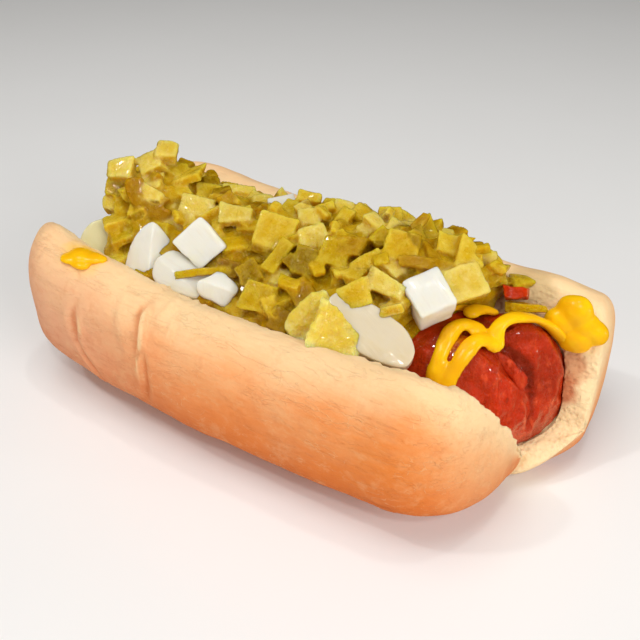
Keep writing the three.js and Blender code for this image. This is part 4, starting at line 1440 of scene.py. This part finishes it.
def small_bits(kept_clear):
    """Crumbled bits strewn over the heap and its left end, clear of the whole toppings."""
    bits, placed = [], [np.zeros(3)]
    draw = Draws(BITS["seed"])
    for i in range(BITS["tries"] + END_BITS["tries"]):
        x, y, size, turn = strewn(draw, BITS)
        tone = tone_at(x, y, BIT_TONES, draw(0, 1))
        at = np.array([x, y, heap_top(x, y) + draw(*BITS["lift"])])
        if i >= BITS["tries"]:
            x = heap_start(y) + END_BITS["inset"]
            low, high = HEAP["floor"] + END_BITS["margin"], heap_top(x, y) - END_BITS["margin"]
            at = np.array([x, y, mix(low, high, draw(0, 1))])
            turn = drawn_all(draw, END_BITS["turn"])
        if min(np.linalg.norm(at - place) for place in kept_clear) < BITS["clear"]:
            continue
        if np.linalg.norm(np.array(placed) - at, axis=1).min() < BITS["spacing"]:
            continue
        placed.append(at)
        bits.append({"at": at, "size": size, "turn": turn, "key": BITS["key"] + i, "tone": tone})
    return bits


def heap_core():
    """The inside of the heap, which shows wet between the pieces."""
    rings = []
    for s in np.linspace(0, 1, HEAP["stations"]):
        ring = []
        for y in np.linspace(HEAP["far"], HEAP["near"], HEAP["across"]):
            x = mix(heap_start(y), heap_end(y), s)
            ring.append((x, y, heap_top(x, y) - HEAP["cover"]))
        ring[-1] = (*ring[-1][:2], HEAP["edge"])
        for y in HEAP["underneath"]:
            ring.append((mix(heap_start(y), heap_end(y), s), y, HEAP["floor"]))
        rings.append(ring)
    core = rolled("relish_core", rings)
    subdivide(core)
    points = points_of(core)
    raise_by(core, 1.3 * (cells_of(points)[1] - 0.3) + 0.4 * grain(points, 1.8, 22))
    return core


def cells_of(points):
    """Two random numbers for each point, the same all over each small crooked block."""
    warped = points + np.stack([1.6 * grain(points, 4, 24 + i) for i in range(3)], 1)
    blocks = [Vector(p) / HEAP_CELL for p in warped @ facing(25, 35, 15)]
    return [np.array([noise.cell(p + offset) for p in blocks]) for offset in CELL_OFFSETS]


def taken_up(piece, tones, shade):
    """A finished piece's points, faces and marks, ready to be run into the heap."""
    points = points_of(piece)
    faces = [tuple(face.vertices) for face in piece.data.polygons]
    bpy.data.objects.remove(piece)
    tone = np.array(tones)[(cells_of(points)[0] * len(tones)).astype(int) % len(tones)]
    # The rind ring and the core get a middling painted shade on their sides and no painted edge
    # highlight.
    return points, faces, {"tone": tone, "shade": shade, "side": 0.4, "rind": 0.0, "edge": 0.0}


def run_together(piece):
    """One closed skin over overlapping pieces, each place keeping the marks of what is under it."""
    mesh = piece.data
    corners = [tuple(face.vertices) for face in mesh.polygons]
    tree = BVHTree.FromPolygons([tuple(vertex.co) for vertex in mesh.vertices], corners)
    kept = {key: marks_of(piece, key) for key in ("tone", "shade", "side", "rind", "edge")}
    finish_with(piece, "REMESH", mode="VOXEL", voxel_size=HEAP_GRAIN * MM)
    piece = main_part(piece, piece.name)
    finish_with(piece, "SMOOTH", factor=0.5, iterations=4)
    nearest = [tree.find_nearest(vertex.co)[2] for vertex in piece.data.vertices]
    ends = np.array([edge.vertices for edge in piece.data.edges])
    for key, values in kept.items():
        of_face = np.array([values[list(face)].mean(0) for face in corners])
        mark(piece, key, softened(of_face[nearest], ends, 2 if key == "edge" else 4))
    return piece


def softened(values, ends, times):
    """Values per vertex, brought halfway to their neighbours' mean along the edges."""
    for _ in range(times):
        total, count = np.zeros_like(values), np.zeros(len(values))
        for a, b in (ends.T, ends.T[::-1]):
            np.add.at(total, a, values[b])
            np.add.at(count, a, 1)
        values = 0.5 * values + 0.5 * (total.T / count).T
    return values


def heap_pieces(colours, relief):
    """All that the heap is made of: the placed pieces, the seeded ones, the rind and the core."""
    large = large_chunks()
    toppings = [spot for piece in (*ONIONS, *PICKLES) for spot in topping_span(piece)]
    fill = fill_chunks(toppings + [np.array(piece["at"]) for piece in large])
    draw = Draws(TONE_SEED)
    for chunk in fill:
        chunk["tone"] = tone_at(*chunk["at"][:2], FILL_TONES, draw(0, 1))
    bits = small_bits(toppings)
    cubes = [rounded_cube(*cube) for cube in HEAP_CUBES]
    pieces = []
    for chunks, (units, faces) in zip((large, fill, bits), cubes):
        for chunk in chunks:
            chunk["uneven"] = 0.16 if "lift" in chunk else 0.26
            chunk["pinch"] = max(0, draw(-0.6, 0.6))
            chunk["bend"] = draw(-0.2, 0.4)
            skin_side = np.array([draw(-1, 1), draw(-1, 1), 0]).round()
            share = 1.0 if chunk["size"][0] > 5 else 0.6
            placed, marks = chopped(units, chunk, relief * share)
            marks |= {
                "shade": draw(0, 1), "rind": units @ skin_side * (draw(0, 1) > 0.45),
                "tone": np.tile(getattr(colours, chunk["tone"]), (len(units), 1)),
            }
            pieces.append((placed, faces, marks))
    pieces.append(taken_up(slice_of("rind_ring", RIND_RING), [colours.amber], 0.3))
    mush = [getattr(colours, tone) for tone in MUSH_TONES]
    pieces.append(taken_up(heap_core(), mush, 0.4))
    return pieces


class HOTDOG_OT_relish(bpy.types.Operator):
    """Adds the heap of chopped pickle relish as one closed piece"""

    bl_idname = "hotdog.relish"
    bl_label = "Add Relish"

    def execute(self, context):
        sizes, colours = context.scene.hotdog_sizes, context.scene.hotdog_colours
        pieces = heap_pieces(colours, sizes.chunk_relief / MM)
        heap = run_together(mesh_of("relish_heap", pieces))
        raise_by(heap, 0.12 * grain(points_of(heap), 1.6, 23))
        finish_with(heap, "DECIMATE", ratio=HEAP_KEPT)
        without_slivers(heap)
        shader = Shader("wet_relish")
        flesh = shader.attribute("tone", "Vector")
        dress(heap, wet_flesh(shader, flesh, colours.golden, colours.green), "relish", "relish")
        return {"FINISHED"}


# ------------------------------------------------------------------ stage
def add_floor(tone):
    bpy.ops.object.select_all(action="DESELECT")
    bpy.ops.mesh.primitive_plane_add(size=FLOOR_SIDE, location=(0, 0, 0))
    floor = named("floor")
    shader = Shader("pale_floor")
    cloud = shader.noise(60, 2)
    shader.set(Base_Color=shader.blend(cloud, tone, mixed(tone, (1, 1, 1), 0.15)), Roughness=0.6)
    floor.data.materials.append(shader.material)
    floor.visible_glossy = False
    floor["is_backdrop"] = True


def add_world(scene):
    world = bpy.data.worlds.new("studio")
    scene.world = world
    world.use_nodes = True
    background = world.node_tree.nodes["Background"]
    background.inputs["Color"].default_value = WORLD["colour"]
    background.inputs["Strength"].default_value = WORLD["strength"]
    world.cycles_visibility.glossy = False


def add_light(name, place, size, power):
    """An area light aimed just above the floor's middle. Only a glint shows in reflections."""
    bpy.ops.object.light_add(type="AREA", location=place)
    light = bpy.context.active_object
    light.name = f"{name}_light"
    light.data.size = size
    light.data.energy = power
    light.visible_glossy = "glint" in name
    light.rotation_euler = (LIGHT_AIM - Vector(place)).to_track_quat("-Z", "Y").to_euler()


def add_camera(scene):
    azimuth, elevation = (math.radians(CAMERA[key]) for key in ("azimuth", "elevation"))
    back = Vector((
        math.sin(azimuth) * math.cos(elevation), -math.cos(azimuth) * math.cos(elevation),
        math.sin(elevation)))
    target = Vector(np.array(CAMERA["target"]) + SHIFT) * MM
    bpy.ops.object.camera_add(location=target + back * CAMERA["distance"] * MM)
    camera = bpy.context.active_object
    camera.rotation_euler = back.to_track_quat("Z", "Y").to_euler()
    camera.data.lens = CAMERA["lens"]
    camera.data.clip_start = 0.01
    scene.camera = camera
    scene.view_settings.view_transform = "Standard"


class HOTDOG_OT_stage(bpy.types.Operator):
    """Adds the pale floor, the soft lights and the camera"""

    bl_idname = "hotdog.stage"
    bl_label = "Add Stage"

    def execute(self, context):
        add_floor(context.scene.hotdog_colours.floor)
        add_world(context.scene)
        for light in LIGHTS:
            add_light(*light)
        add_camera(context.scene)
        return {"FINISHED"}


# ------------------------------------------------------------------ add-on
STEPS = ("bread", "sausage", "dollop", "onion", "pickles", "relish", "stage")


class HOTDOG_PT_panel(bpy.types.Panel):
    """Lists the pieces, sizes and colours in the sidebar"""

    bl_idname = "HOTDOG_PT_panel"
    bl_label = "Hot Dog"
    bl_space_type = "VIEW_3D"
    bl_region_type = "UI"
    bl_category = "Hot Dog"

    def draw(self, context):
        for step in STEPS:
            self.layout.operator(f"hotdog.{step}")
        for group in (context.scene.hotdog_sizes, context.scene.hotdog_colours):
            for key in group.__annotations__:
                self.layout.prop(group, key)


CLASSES = (
    HotDogSizes, HotDogColours, HOTDOG_OT_bread, HOTDOG_OT_sausage, HOTDOG_OT_dollop,
    HOTDOG_OT_onion, HOTDOG_OT_pickles, HOTDOG_OT_relish, HOTDOG_OT_stage, HOTDOG_PT_panel,
)


def register():
    for each in CLASSES:
        bpy.utils.register_class(each)
    bpy.types.Scene.hotdog_sizes = bpy.props.PointerProperty(type=HotDogSizes)
    bpy.types.Scene.hotdog_colours = bpy.props.PointerProperty(type=HotDogColours)


def unregister():
    del bpy.types.Scene.hotdog_colours
    del bpy.types.Scene.hotdog_sizes
    for each in reversed(CLASSES):
        bpy.utils.unregister_class(each)


def main():
    register()
    for step in STEPS:
        getattr(bpy.ops.hotdog, step)()
    sizes = {"cad": CAD_BOX, "visual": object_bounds()}
    {key: [list(corner) for corner in box] for key, box in sizes.items()}


if __name__ == "__main__":
    main()
